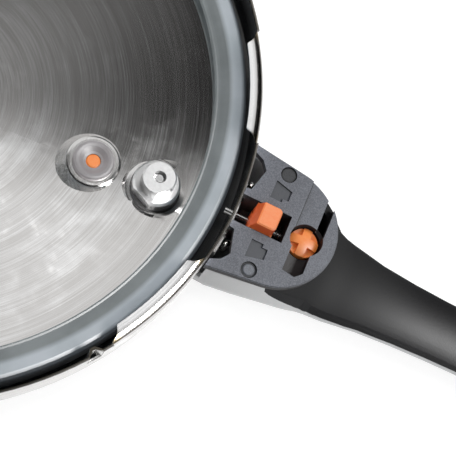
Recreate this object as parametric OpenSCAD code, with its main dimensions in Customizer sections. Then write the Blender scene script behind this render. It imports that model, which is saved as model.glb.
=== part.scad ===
// Pressure cooker lid with its handle, lying on its outer side.
// The lid's axis is Z, the handle runs along +X, and the crown of the lid rests on z = 0.

/* [Lid sheet] */
// Diameter over the lid's wall
lid_d = 236; // [200:1:260]
// Height of the wall's free edge above the crown
lid_h = 34; // [31:0.5:40]
// Thickness of the sheet
sheet = 0.8; // [0.6:0.1:1.2]
// Radius of the flat crown
crown_r = 25; // [15:1:35]
// Height of the seat's outer face above the crown
seat_h = 15.2; // [13:0.2:17]
// Width of the flat seat, from the wall's outer face inward
seat_w = 22; // [19:0.5:24]
// Outer radius of the bend between seat and wall
bend_r = 4; // [2:0.5:6]

/* [Bayonet] */
// Number of lugs round the wall
lug_count = 8; // [4:1:10]
// Angle that one lug covers at the wall
lug_deg = 20.8; // [12:0.2:24]
// Angle of the open stretch of the wall beside the handle
handle_gap_deg = 22.8; // [20:0.2:30]
// Angle by which each end of a lug draws in from the wall to its inner edge
lug_flow = 1.8; // [0.8:0.1:2.5]
// Width of the shear cut between a lug's end and the wall
lug_slit = 0.2; // [0.1:0.05:0.6]
// How far a lug's inner edge lies inside the wall's outer face
lug_reach = 5.1; // [3.5:0.1:6.5]
// Outer radius of the bend that forms a lug
lug_bend_r = 2.6; // [1.6:0.1:3]
// Depth of the stop pressed into one open stretch of the wall
stop_depth = 2.2; // [1:0.1:3]
// Angle from the end of the lug beside the handle to the stop
stop_gap_deg = 3.2; // [2.5:0.1:5]
// Width of the stop along the wall
stop_w = 5.6; // [3:0.1:6]
// Height of the stop, down from the free edge
stop_h = 7; // [4:0.5:9]

/* [Sealing ring] */
// Distance from the wall's outer face to the ring
ring_gap = 4.4; // [3.6:0.1:5.4]
// Width of the ring over its lip
ring_w = 11.5; // [10:0.1:12.6]
// Height of the ring above its seat
ring_h = 11.6; // [9:0.1:12]
// Thickness of the ring's lips
ring_lip = 2.2; // [1.5:0.1:3]
// Depth of the groove between the lips
ring_groove = 6.5; // [4:0.1:8]
// Width of the ring where it stands on the seat
ring_foot = 10.2; // [8.6:0.1:11]
// Depth to which the ring's top falls toward its lip
ring_fall = 1.6; // [0.8:0.1:2]

/* [Pressed seats in the lid] */
// Distance from the wall's outer face in to the safety valve
valve_in = 27.7; // [26:0.1:34]
// Depth of the valve's seat under the ring's seat
valve_drop = 3.4; // [2:0.1:5]
// Distance from the wall's outer face in to the indicator
gauge_in = 51; // [48:0.1:58]
// Depth of the indicator's seat under the ring's seat
gauge_drop = 5.2; // [4.5:0.1:7]
// Radius of the flat part of the valve's seat
valve_seat_r = 10; // [9:0.1:11]
// Radius of the flat part of the indicator's seat
gauge_seat_r = 9.2; // [8.4:0.1:10]
// How far the slope round a seat spreads for each millimetre of height
seat_slope = 0.6; // [0.3:0.05:1]
// Height over which a seat's edge is rounded
seat_round = 0.9; // [0.4:0.1:1.2]

/* [Safety valve] */
// Radius of the valve's shank, which passes through the sheet
shank_r = 5; // [4:0.1:5.5]
// Radius of the valve nut's flange
nut_r = 8.5; // [8:0.1:9]
// Height of the nut's flange
nut_h = 4.6; // [3:0.1:6]
// Radius of the valve's inner head
head_r = 5.95; // [5.5:0.1:7]
// Height of the valve's inner head above the nut
head_h = 6.2; // [4:0.1:8]
// Radius of the valve's outer body, inside the handle
body_r = 7; // [6:0.1:7.6]
// Height of the valve's outer body
body_h = 6; // [4:0.1:7]
// Thickness of the seal under the nut
washer_t = 0.9; // [0.5:0.1:1.5]
// Radius of the opening in the valve's head
port_r = 2.2; // [1.8:0.1:2.6]
// Thickness of the nut's end round the opening
cap_t = 2.6; // [1.5:0.1:3]
// Direction of the flat on the nut's flange
nut_turn = -115; // [-180:5:180]
// Direction of the flat on the nut's end
head_turn = -46; // [-180:1:180]
// Radius of the valve's stem
stem_r = 1.5; // [1:0.1:1.6]
// Travel of the stem
stem_travel = 1.5; // [0.5:0.1:2]
// Radius of the stem's collar
stem_collar_r = 2.9; // [2.6:0.1:3.2]
// Height of the spring's seat above the body's shoulder
spring_seat = 1.6; // [0.5:0.1:3]

/* [Pressure indicator] */
// Radius of the grommet's flange
grommet_r = 7.4; // [6.5:0.1:8]
// Thickness of the grommet's flange at its rim
grommet_t = 1.6; // [1:0.1:2.2]
// Radius of the grommet's neck in the sheet
neck_r = 5; // [4.2:0.1:6]
// Radius of the orange pin
gauge_r = 2.6; // [2:0.1:3]
// Travel of the indicator
gauge_travel = 4; // [2:0.1:5]
// Height of the indicator's outer end above the crown
gauge_low = 1; // [0.5:0.1:1.5]
// Thickness of the indicator's collar
gauge_collar_t = 1; // [0.6:0.1:1.4]
// Height of the grommet's lip under the sheet
grommet_lip = 1.2; // [0.8:0.1:1.8]

/* [Handle housing] */
// Length of the handle beyond the lid's wall
handle_l = 174; // [152:1:192]
// Distance from the wall's outer face in to the tip of the nose
nose_in = 69; // [64:0.5:72]
// Half the housing's width beside the lid's wall
rim_half_w = 24; // [22:0.5:26]
// Half the grip's width at its neck, behind the plate
neck_half_w = 14.3; // [12.5:0.1:15.5]
// Half the grip's width at its waist
waist_half_w = 10.8; // [9:0.1:13]
// Half the grip's width at its widest place near the end
palm_half_w = 13; // [11:0.1:15]
// How much wider the grip is at its foot, on each side
grip_draft = 1.2; // [0.4:0.1:1.6]
// Height of the grip at its waist
grip_h = 14.6; // [14.2:0.1:18]
// Wall thickness of the silver cover
cover_wall = 2; // [1.4:0.1:2.6]
// Wall thickness of the black housing
grip_wall = 2.6; // [2:0.1:3.2]
// Half the width of the nose near its tip
nose_half_w = 11; // [9:0.5:13]
// Length of the nose's round tip
nose_round = 9; // [6:0.5:11]
// Length of the grip's round end
palm_round = 14; // [10:0.5:18]
// Distance from the grip's end back to where it begins to widen
palm_l = 42; // [36:1:48]
// Distance from the wall's outer face to the grip's waist
waist_out = 100; // [92:1:108]
// How far the grip's outer face stands off what the lid lies on
grip_arch = 0.3; // [0.2:0.1:1]
// Radius of the flare between the plate's end and the grip
flare_r = 4; // [3:0.5:6]
// Radius of the housing's lower edges beside the wall
rim_low_r = 13; // [11:0.5:14]
// Radius of the grip's lower edges
grip_low_r = 5.6; // [4.5:0.1:6.6]
// Radius of the grip's upper edges
grip_top_r = 6.8; // [5:0.1:7.4]
// Height of the seam between cover and grip along the grip
seam_h = 6.8; // [5.8:0.1:7.6]
// Radius of the steam outlet in the nose
vent_r = 3; // [2:0.1:4]
// Radius of a screw boss in the cover
boss_r = 3.2; // [2.8:0.1:3.3]
// Height of a screw boss's foot
boss_z = 14; // [13.5:0.5:18]

/* [Base plate] */
// Height of the plate's face above the crown
plate_z = 30.6; // [30.4:0.1:32]
// Thickness of the plate
plate_t = 3; // [2.4:0.1:3.6]
// Radius of the plate's round end
end_r = 22; // [21:0.5:23]
// Distance from the wall's outer face to the plate's far end
plate_out = 37; // [35:0.5:38]
// Gap between the plate and the lid's wall
rim_gap = 0.5; // [0.4:0.1:1.5]
// How far the grip reaches in under the plate, from the plate's far end
grip_in = 25; // [23:0.5:27]
// Radius of a screw cover's recess
cap_hole_r = 2.9; // [2.5:0.1:3.2]
// Distance from the plate's edge in to the screws
screw_in = 3.4; // [3:0.1:4.4]
// Distance from the wall's outer face to the screws
screw_out = 12.1; // [10:0.1:13]
// Radius of a screw's shank
screw_r = 1.5; // [1.2:0.1:1.6]
// Thickness of a screw's head
screw_head_t = 0.8; // [0.5:0.1:1]
// Depth of a screw cover's recess
cap_depth = 1.8; // [1.6:0.1:2]
// Bevel round the plate's face
plate_bevel = 0.5; // [0.3:0.1:0.8]
// Depth of the shallow recesses beside the screws
recess_t = 0.7; // [0.3:0.1:1]
// Distance from the wall's outer face to the shallow recesses
recess_out = 9; // [8.4:0.1:9.6]
// Length of a shallow recess along the handle
recess_l = 6.5; // [5:0.1:7]
// Width of a shallow recess
recess_w = 6.8; // [5:0.1:7]
// Side of the notch in a shallow recess
recess_notch = 2.1; // [1:0.1:2.5]
// Distance from the handle's middle to a shallow recess
recess_y = 8.4; // [8:0.1:9]
// Reach of the openings over the studs beyond the wall
stud_reach = 4.3; // [3.6:0.1:4.6]
// Wall of the tubs under the plate
tub_wall = 1.5; // [1.2:0.1:1.5]
// Depth of the block's tub under the release pin's axis
tub_depth = 6.6; // [5:0.1:7]

/* [Bracket] */
// Thickness of the bracket's strap
bracket_t = 1.2; // [0.8:0.1:1.4]
// Height of the strap
bracket_h = 5.8; // [5.2:0.2:7.4]
// Angle that the strap covers
bracket_deg = 16; // [14:1:20]
// Distance from the wall's outer face to the studs
stud_out = 2.4; // [2:0.1:2.6]
// Half the distance between the studs
stud_y = 11.8; // [11:0.1:13]
// Radius of a stud
stud_r = 1.3; // [1:0.1:1.4]
// Height of a stud
stud_h = 6.6; // [5:0.1:7.5]

/* [Cam path] */
// Distance from the plunger's axis to the sunk cam path's lid side
cam_near = 3.9; // [3.3:0.1:4.3]
// Distance from the plunger's axis to the sunk cam path's grip side
cam_far = 3.3; // [2.7:0.1:3.5]
// Length of the sunk cam path from the handle's middle
cam_y = 14.4; // [12:0.1:14.4]
// Bevel at the sunk path's blind corner
cam_bevel = 2.4; // [2:0.1:3]
// Height of the sunk path's floor above the crown
cam_z = 25.6; // [24:0.1:27]
// Depth of the stepped path
step_t = 1.5; // [1:0.1:2]
// Width of the slot beyond the stepped path
slot_w = 3; // [2:0.1:3.4]

/* [Release] */
// Half the width of the block's channel
channel_half = 5.2; // [4.8:0.1:6]
// Length of the block's top along the handle
block_l = 6.8; // [5:0.1:7.5]
// Half the width of the block's top
block_half = 4.2; // [3.5:0.1:4.4]
// Height of the block's top above the plate
block_rise = 4.4; // [3:0.1:5]
// Distance from the wall's outer face to the block's lid-side top edge
block_out = 8; // [7.5:0.1:8.5]
// Radius of the release pin
pin_r = 1.3; // [1:0.1:1.5]
// Height of the release pin's axis above the bracket's lower edge
pin_rise = 3.3; // [2.8:0.1:4.8]
// Travel of the release slider
release_travel = 3.6; // [3:0.1:3.8]
// Radius of the guide pin behind the block
guide_r = 1; // [0.8:0.1:1.2]
// Length of the release pin inside the wall's outer face
pin_reach = 3.5; // [3:0.1:3.6]
// Length of the release pin held in the block
pin_hold = 4; // [3:0.1:4.4]
// Depth of the spring's hole in the block
coil_hold = 3.6; // [3:0.1:3.8]
// Mean radius of the release spring
coil_r = 1.6; // [1.4:0.1:1.9]

/* [Lock plunger and opening button] */
// Distance from the wall's outer face to the plunger
plunger_out = 26.3; // [26:0.1:26.6]
// Radius of the plunger
plunger_r = 5.2; // [4.6:0.1:5.2]
// Depth of the plunger's top under the plate's face
plunger_sink = 2; // [1:0.1:3.2]
// Width of one rib of the plunger's cross
rib_w = 3.2; // [1.8:0.1:4]
// Travel of the plunger
plunger_travel = 3; // [1.5:0.1:3.2]
// Travel of the opening button
button_travel = 6; // [4:0.1:6]
// Distance from the plunger's top down to its flange
plunger_l = 17.2; // [16.4:0.1:17.8]
// Radius of the plunger's stem
plunger_stem_r = 2.2; // [1.8:0.1:2.6]
// Radius of the plunger's flange
plunger_flange_r = 3.6; // [3.2:0.1:4]
// Radius of the ball that rounds the plunger's top
dome_ball = 9; // [7:0.5:14]
// Depth of the notches between the ribs
notch_h = 2.4; // [1:0.1:4]
// Direction of the ribs
rib_turn = 0; // [0:1:90]
// Gap round the plunger at the plate's face
well_gap = 0.7; // [0.4:0.1:0.9]
// Height of the well's foot above the crown
well_z = 16.4; // [16:0.1:18]
// Height of the plunger's guide
guide_h = 4; // [3:0.1:5]
// Distance from the wall's outer face to the button
button_out = 30; // [29:0.5:31]
// Length of the button
button_l = 20; // [18:0.5:22]
// Half the width of the button
button_half = 6.5; // [6:0.1:7]
// Thickness of the button
button_t = 2.2; // [1.8:0.1:2.4]
// How far the button's face lies above what the lid rests on
button_sink = 0.4; // [0.3:0.1:0.6]
// Distance from the wall's outer face to the link's post
link_out = 33; // [32.5:0.1:34]
// Length of the post along the handle
link_t = 3; // [2.5:0.1:3]
// Half the width of the post
link_half = 2.4; // [2:0.1:2.6]
// Height of the button spring's axis
link_z = 9.2; // [9:0.1:10]
// Height of the button's own post below the link
post_foot = 2.6; // [2:0.1:3]
// Width of a rail of the fork
rail_w = 1.2; // [1:0.1:1.4]
// Thickness of a rail
rail_t = 1.4; // [1:0.1:1.5]
// Distance from the wall's outer face to the end of the room
room_out = 43.5; // [43:0.5:45]
// Half the width of the room's narrow end
room_half = 5; // [4.6:0.1:6]
// Height of the room's narrow end
room_h = 9.8; // [9.4:0.1:10]
// Mean radius of the button spring, with half its wire
spring_r = 2.2; // [1.8:0.1:2.4]
// Depth of the button spring's pocket in the grip
spring_pocket = 10; // [8:0.5:14]

/* [Fits] */
// Radial clearance of a sliding fit
slide_gap = 0.08; // [0.04:0.01:0.1]
// Gap between pieces that move past each other
free_gap = 0.35; // [0.3:0.01:0.5]
// Gap between the cover and the lid
lid_gap = 0.3; // [0.2:0.05:0.6]

/* [Hidden] */
$fn = 96;
eps = 0.01; // overlap of a cutting tool with the face that it opens
far = lid_d / 2; // length of a cutting tool that passes right out of a piece
lap = 0.3; // depth to which two stretches of one sheet run into each other

// Lid: a sphere through the crown's edge and the seat's inner edge.
lid_r = lid_d / 2;
seat_r = lid_r - seat_w;
dome_c = (seat_r * seat_r - crown_r * crown_r + seat_h * seat_h) / (2 * seat_h);
dome_r = sqrt(crown_r * crown_r + dome_c * dome_c);
seat_z = seat_h + sheet;
valve_x = lid_r - valve_in;
valve_seat_z = seat_z - valve_drop;
gauge_x = lid_r - gauge_in;
gauge_seat_z = seat_z - gauge_drop;
lug_r = lid_r - lug_reach;
first_lug = (handle_gap_deg + lug_deg) / 2; // angle from the handle to the middle of the lug beside it
pitch = (360 - 2 * first_lug) / (lug_count - 1);
stop_deg = -first_lug - lug_deg / 2 - stop_gap_deg;
ring_out_r = lid_r - ring_gap;
ring_in_r = ring_out_r - ring_w;
ring_foot_r = ring_out_r - ring_foot;
bracket_z = seat_h + bend_r; // the strap stands on the end of the wall's bend
pin_z = bracket_z + pin_rise;

// Handle: everything on it is placed from the wall's outer face.
function between(a, b, t) = a + (b - a) * t;
deck_z = plate_z - plate_t;
handle_end = lid_r + handle_l;
nose_x = lid_r - nose_in;
waist_x = lid_r + waist_out;
end_x = lid_r + plate_out - end_r; // centre of the plate's round end
screw_x = lid_r + screw_out;
stud_x = lid_r + stud_out;
block_x = lid_r + block_out;
plunger_x = lid_r + plunger_out;
cam_x0 = plunger_x - cam_near;
cam_x1 = plunger_x + cam_far;
button_x = lid_r + button_out;
link_x = lid_r + link_out;
room_end = lid_r + room_out;
nose_back = 11; // length of the nose's rounded stretch
palm_back = 18; // length of the grip's rounded end
join_x = lid_r + plate_out - grip_in; // where the grip's form begins, under the plate
neck_x = end_x + end_r + 9; // where the fall behind the plate has run out
palm_x = handle_end - palm_l; // where the grip begins to widen into the palm's swell
neck_h = grip_h + 2;
taper_deg = atan((rim_half_w - end_r) / (end_x - lid_r));
screw_y = rim_half_w - screw_out * tan(taper_deg) - screw_in;
block_end = block_x + block_l;
channel_end = block_end + release_travel + free_gap;
bracket_r = lid_r + bracket_t;
tub_r = bracket_r + free_gap;
tub_z = pin_z - tub_depth;
plunger_top = plate_z - plunger_sink;
flange_top = plunger_top - plunger_l;

// ---- curves and lofts ----

// Slope of the curve through points p at point i.
function slope(p, i) =
  let (a = max(i - 1, 0), b = min(i + 1, len(p) - 1)) (p[b][1] - p[a][1]) / (p[b][0] - p[a][0]);

// Number of the stretch of p that holds x.
function stretch(p, x, i = 0) = (i >= len(p) - 2 || x <= p[i + 1][0]) ? i : stretch(p, x, i + 1);

// Height at x of the smooth curve through points p.
function curve(p, x) =
  let (
    i = stretch(p, x),
    d = p[i + 1][0] - p[i][0],
    t = (x - p[i][0]) / d,
    m = slope(p, i) * d,
    n = slope(p, i + 1) * d
  )
  (2 * t ^ 3 - 3 * t ^ 2 + 1) * p[i][1] + (t ^ 3 - 2 * t ^ 2 + t) * m
  + (3 * t ^ 2 - 2 * t ^ 3) * p[i + 1][1] + (t ^ 3 - t ^ 2) * n;

// A quarter circle of six points about [cy, cz].
function quarter(cy, cz, r, start) = [for (i = [0:5])
  let (a = start + 18 * i)
  [cy + r * cos(a), cz + r * sin(a)]];

// A rounded section from height low to top, with its own half width and radius below and above.
function section(half_low, half, low, top, r_low, r_top) = concat(
  quarter(half - r_top, top - r_top, r_top, 0),
  quarter(r_top - half, top - r_top, r_top, 90),
  quarter(r_low - half_low, low + r_low, r_low, 180),
  quarter(half_low - r_low, low + r_low, r_low, 270)
);

// A solid through rings of equally many points.
module loft(rings) {
  n = len(rings[0]);
  last = (len(rings) - 1) * n;
  sides = [for (j = [0:len(rings) - 2]) for (i = [0:n - 1])
    let (a = j * n + i, b = j * n + (i + 1) % n)
      each [[a, b + n, b], [a, a + n, b + n]]];
  polyhedron(
    points = [for (ring = rings) each ring],
    faces = concat([[for (i = [0:n - 1]) i]], sides, [[for (i = [n - 1:-1:0]) last + i]]),
    convexity = 6
  );
}

// A coil of round wire round Z, from z = 0 to z = len, closed and ground flat by its own end turns.
module coil(radius, wire, len, turns) {
  steps = 14; // rings in one turn
  count = steps * turns;
  rings = [for (k = [0:count])
    let (a = 360 * k / steps, z = wire + (len - 2 * wire) * k / count)
      [for (i = [0:5])
        let (b = 60 * i, r = radius - wire * cos(b))
        [r * cos(a), r * sin(a), z + wire * sin(b)]]];
  loft(rings);
}

// ---- handle form ----

// Each curve runs through places named above, and through fractions of the way between two of them.
function half_w(x) = curve([
  [nose_x, nose_half_w],
  [between(nose_x, lid_r, 0.38), between(nose_half_w, rim_half_w, 0.38)],
  [between(nose_x, lid_r, 0.74), between(nose_half_w, rim_half_w, 0.77)],
  [lid_r, rim_half_w],
  [end_x, end_r],
  [between(end_x, neck_x, 0.48), between(end_r, neck_half_w, 0.45)],
  [between(end_x, neck_x, 0.74), between(end_r, neck_half_w, 0.84)],
  [neck_x, neck_half_w],
  [between(neck_x, waist_x, 0.22), between(neck_half_w, waist_half_w, 0.51)],
  [between(neck_x, waist_x, 0.44), between(neck_half_w, waist_half_w, 0.77)],
  [between(neck_x, waist_x, 0.67), between(neck_half_w, waist_half_w, 0.91)],
  [waist_x, waist_half_w],
  [palm_x, between(waist_half_w, palm_half_w, 0.64)],
  [handle_end - palm_back - 4, palm_half_w],
  [handle_end, palm_half_w - 1.5]], x);
function draft(x) = curve([
  [nose_x, 0],
  [end_x, 0],
  [between(end_x, neck_x, 0.48), grip_draft * 0.3],
  [between(end_x, neck_x, 0.87), grip_draft],
  [between(neck_x, waist_x, 0.22), grip_draft],
  [waist_x, grip_draft * 0.75],
  [handle_end, grip_draft * 0.65]], x);
function top_z(x) = min(deck_z, curve([
  [nose_x, deck_z],
  [between(end_x, neck_x, 0.29), deck_z],
  [between(end_x, neck_x, 0.48), between(deck_z, neck_h, 0.11)],
  [between(end_x, neck_x, 0.61), between(deck_z, neck_h, 0.35)],
  [between(end_x, neck_x, 0.71), between(deck_z, neck_h, 0.65)],
  [between(end_x, neck_x, 0.81), between(deck_z, neck_h, 0.89)],
  [neck_x, neck_h],
  [between(neck_x, waist_x, 0.22), between(neck_h, grip_h, 0.4)],
  [between(neck_x, waist_x, 0.67), between(neck_h, grip_h, 0.85)],
  [waist_x, grip_h],
  [palm_x, grip_h + 1.4],
  [handle_end, grip_h + 0.6]], x));
function low_z(x) = curve([
  [nose_x, 0],
  [end_x, 0],
  [neck_x, 0],
  [between(neck_x, waist_x, 0.44), grip_arch],
  [waist_x, grip_arch],
  [handle_end, grip_arch]], x);
function low_r(x) = curve([
  [nose_x, rim_low_r * 0.54],
  [between(nose_x, lid_r, 0.45), rim_low_r * 0.77],
  [lid_r, rim_low_r],
  [between(end_x, neck_x, 0.23), between(rim_low_r, grip_low_r, 0.19)],
  [between(end_x, neck_x, 0.61), between(rim_low_r, grip_low_r, 0.57)],
  [neck_x, between(rim_low_r, grip_low_r, 0.89)],
  [between(neck_x, waist_x, 0.44), grip_low_r],
  [handle_end, grip_low_r]], x);
function top_r(x) = curve([
  [nose_x, 1],
  [between(end_x, neck_x, 0.16), 1],
  [between(end_x, neck_x, 0.55), between(1, grip_top_r, 0.45)],
  [between(end_x, neck_x, 0.81), between(1, grip_top_r, 0.72)],
  [neck_x, between(1, grip_top_r, 0.9)],
  [between(neck_x, waist_x, 0.48), grip_top_r],
  [handle_end, grip_top_r]], x);

// How far a round tip of length reach has grown at distance d behind its point.
function tip(d, reach) = d >= reach ? 1 : sqrt(max(1 - (1 - d / reach) ^ 2, 0.03));

stations = concat(
  [for (t = [0, 0.05, 0.15, 0.27, 0.45, 0.68, 1]) nose_x + nose_back * t],
  [for (k = [1:6]) between(nose_x + nose_back, join_x, k / 7)],
  [for (k = [0:10]) between(join_x, neck_x, k / 10)],
  [for (k = [1:8]) between(neck_x, handle_end - palm_back - 4, k / 8)],
  [for (t = [1, 0.72, 0.5, 0.32, 0.19, 0.09, 0.03, 0]) handle_end - palm_back * t]
);

// One ring of the handle's form at x, drawn in by inset below and at its sides.
function handle_ring(x, inset) =
  let (
    f = min(tip(x - nose_x, nose_round), tip(handle_end - x, palm_round)),
    g = tip(handle_end - x, palm_round),
    mid = (top_z(x) + low_z(x)) / 2,
    half = half_w(x) * f - inset,
    half_low = half + draft(x) * f,
    top = mid + (top_z(x) - mid) * g,
    low = mid + (low_z(x) - mid) * g + inset,
    r_low = min(low_r(x) * g, half * 0.98 + inset) - inset,
    r_top = min(top_r(x) * g, half * 0.98)
  )
  [for (p = section(half_low, half, low, top, max(r_low, 0.05), max(r_top, 0.05))) [x, p[0], p[1]]];

// The handle's outer form between two stations, without what the lid takes away.
module handle_form(from, to, inset = 0) {
  loft([for (x = stations) if (x > from - eps && x < to + eps) handle_ring(x, inset)]);
}

// The room inside the form, a wall's thickness in, open at the top.
module handle_room(from, to, wall) {
  loft([for (x = stations) if (x > from - eps && x < to + eps)
    let (
      half = half_w(x) * tip(x - nose_x, nose_round) - wall,
      r = min(low_r(x), half) - wall * 0.5
    )
      [for (p = section(half, half, low_z(x) + wall, deck_z + 1, r, 0.4)) [x, p[0], p[1]]]]);
}

// The room of the lock's mechanism and its spring's hole, shared by cover and grip.
module mechanism_room() {
  intersection() {
    handle_room(join_x, end_x + end_r + 2, grip_wall);
    translate([end_x, 0, 0]) cylinder(r = end_r - grip_wall, h = far);
  }
  translate([end_x, -room_half, link_z - 5]) cube([room_end - end_x, 2 * room_half, room_h]);
  translate([room_end - 1, 0, link_z]) rotate([0, 90, 0]) cylinder(r = spring_r + 0.5, h = spring_pocket + 1);
}

// Seam between cover and grip: down from the plate's edge behind the mechanism, then along the grip
// and out through its outer face before the palm's end.
seam_fall = [[0.16, 1], [0.19, 0.77], [0.26, 0.64], [0.34, 0.54], [0.45, 0.43], [0.55, 0.33], [0.645, 0.22],
  [0.74, 0.135], [0.87, 0.077], [1, 0.043], [1.26, 0.01], [1.52, 0]];
seam_end = [[0, 1], [0.2, 0.9], [0.35, 0.7], [0.46, 0.38], [0.55, -0.15]];
module under_seam() {
  rotate([90, 0, 0]) linear_extrude(height = far, center = true) polygon(concat(
    [[nose_x - 10, -1], [nose_x - 10, deck_z + 2], [between(end_x, neck_x, 0.16), deck_z + 2]],
    [for (p = seam_fall) [between(end_x, neck_x, p[0]), between(seam_h, deck_z, p[1])]],
    [for (p = seam_end) [between(palm_x, handle_end, p[0]), seam_h * p[1]]]
  ));
}

// The grip's core, over which the cover's rim reaches behind the button.
module grip_core(inset) {
  handle_form(neck_x + 12, handle_end - palm_back / 2, inset);
}

// Everything the lid and its bend fill, with a gap round it, up past the handle.
module lid_room(gap) {
  intersection() {
    translate([0, 0, dome_c]) sphere(r = dome_r + gap, $fn = 200);
    translate([0, 0, -gap]) cylinder(r = seat_r + 1, h = seat_h + gap + 1);
  }
  translate([0, 0, seat_h - gap]) cylinder(r = lid_r - bend_r, h = bend_r + gap + 1);
  translate([0, 0, seat_h + bend_r]) {
    rotate_extrude() translate([lid_r - bend_r, 0]) circle(r = bend_r + gap);
    cylinder(r = lid_r + gap, h = lid_h);
  }
}

// ---- lid ----

// Flank of a pressed seat: distance from its axis and height off the flat, over height h.
function flank(r, h) = concat(
  [[0, 0]],
  [for (p = [[0, 0], [0.8, 0.11], [1.4, 0.44], [1.83, 1]]) [r + (p[0] - 1) * seat_round, p[1] * seat_round]],
  [[r + 0.83 * seat_round + (h - seat_round) * seat_slope, h]]
);
function flank_up(r, z, h) = [for (p = flank(r, h)) [p[0], z + p[1]]];
function flank_down(r, z, h) = [for (p = flank(r, h)) [p[0], z - p[1]]];

// Direction of the stretch of p that begins at point i, and p moved to its right by d.
function heading(p, i) = (p[i + 1] - p[i]) / norm(p[i + 1] - p[i]);
function shifted(p, d) = [for (i = [0:len(p) - 1])
  let (
    u = heading(p, max(i - 1, 0)),
    v = heading(p, min(i, len(p) - 2)),
    m = (u + v) / norm(u + v)
  )
  p[i] + [m[1], -m[0]] * d / (u * m)];
function backward(p) = [for (i = [len(p) - 1:-1:0]) p[i]];

// A flat seat pressed into the dome: raised above it toward the crown, sunk below it toward the wall.
module pressed_seat(x, z, r) {
  low = flank_down(r, z, z);
  high = flank_up(r, z, seat_z - z);
  intersection() {
    translate([x, 0, 0]) rotate_extrude() polygon(concat(low, backward(shifted(low, sheet))));
    translate([0, 0, dome_c]) sphere(r = dome_r, $fn = 360);
  }
  difference() {
    translate([x, 0, 0]) rotate_extrude() polygon(concat(high, backward(shifted(high, sheet))));
    translate([0, 0, dome_c]) sphere(r = dome_r - sheet, $fn = 360);
  }
}

module seat_opening(x, z, r) {
  translate([x, 0, 0]) rotate_extrude() polygon(concat(flank_down(r, z, z), [[0, 0]]));
  translate([x, 0, 0]) rotate_extrude() polygon(concat(flank_up(r, z, seat_z + 2 - z), [[0, seat_z + 2]]));
}

// Section of the ring's seat, the bend and the wall.
module wall_profile() {
  translate([seat_r, seat_h]) square([seat_w - bend_r, sheet]);
  intersection() {
    translate([lid_r - bend_r, seat_h + bend_r]) difference() {
      circle(r = bend_r);
      circle(r = bend_r - sheet);
    }
    translate([lid_r - bend_r, seat_h]) square(bend_r);
  }
  translate([lid_r - sheet, seat_h + bend_r]) square([sheet, lid_h - seat_h - bend_r]);
}

module lug_profile() {
  intersection() {
    translate([lid_r - lug_bend_r, lid_h - lug_bend_r]) difference() {
      circle(r = lug_bend_r);
      circle(r = lug_bend_r - sheet);
    }
    translate([lid_r - lug_bend_r, lid_h - lug_bend_r]) square(lug_bend_r);
  }
  translate([lug_r, lid_h - sheet]) square([lug_reach - lug_bend_r, sheet]);
  // the root of the lug, inside the wall
  translate([lid_r - 0.8 * sheet, lid_h - lug_bend_r - lap]) square([0.6 * sheet, 1.5 * lap]);
}

// Places of the lugs, with the handle between the first and the last.
module lug_places() {
  for (k = [0:lug_count - 1]) rotate([0, 0, first_lug + k * pitch]) children();
}

// The sector of the wall that is bent inward as one lug, with a shear cut at each end.
module lug_sector() {
  reach = 1.2 * lid_r;
  half_deg = lug_deg / 2 + atan(lug_slit / lid_r);
  polygon([
    [0, 0],
    [reach * cos(half_deg), -reach * sin(half_deg)],
    [reach * cos(half_deg), reach * sin(half_deg)]]);
}

// One lug seen from above: each end runs in an S from the wall to the lug's inner edge.
lug_corner_deg = 0.6; // rounding of a lug's inner corner
function lug_edge(t) = lug_deg / 2 - lug_flow - lug_corner_deg * (1 - t) ^ 4 + lug_flow * t ^ 3;
module lug_plan() {
  from = lug_r - lap;
  to = lid_r - sheet - lap;
  side = [for (t = [0:0.125:1]) let (r = between(from, to, t)) [r * cos(lug_edge(t)), r * sin(lug_edge(t))]];
  out = 1.1 * lid_r;
  polygon(concat(
    side,
    [[out * cos(lug_deg / 2), out * sin(lug_deg / 2)], [out * cos(lug_deg / 2), -out * sin(lug_deg / 2)]],
    [for (p = backward(side)) [p[0], -p[1]]]));
}

module dome_sheet() {
  rotate_extrude($fn = 180) {
    difference() {
      intersection() {
        translate([0, dome_c]) circle(r = dome_r, $fn = 720);
        square([seat_r + lap, seat_z]);
      }
      translate([0, dome_c]) circle(r = dome_r - sheet, $fn = 720);
    }
    square([crown_r, sheet]);
  }
}

// The fold that is pressed into the wall and stops the lid's turn on its pot.
module wall_stop() {
  flat = 0.14 * stop_w;
  rotate([0, 0, stop_deg])
    translate([lid_r - sheet, 0, lid_h - stop_h])
      linear_extrude(height = stop_h)
        polygon([
          [sheet, stop_w / 2], [0, stop_w / 2], [-stop_depth, flat], [-stop_depth, -flat],
          [0, -stop_w / 2], [sheet, -stop_w / 2],
          [sheet * 1.3 - stop_depth, -flat * 0.7], [sheet * 1.3 - stop_depth, flat * 0.7]]);
}

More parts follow.
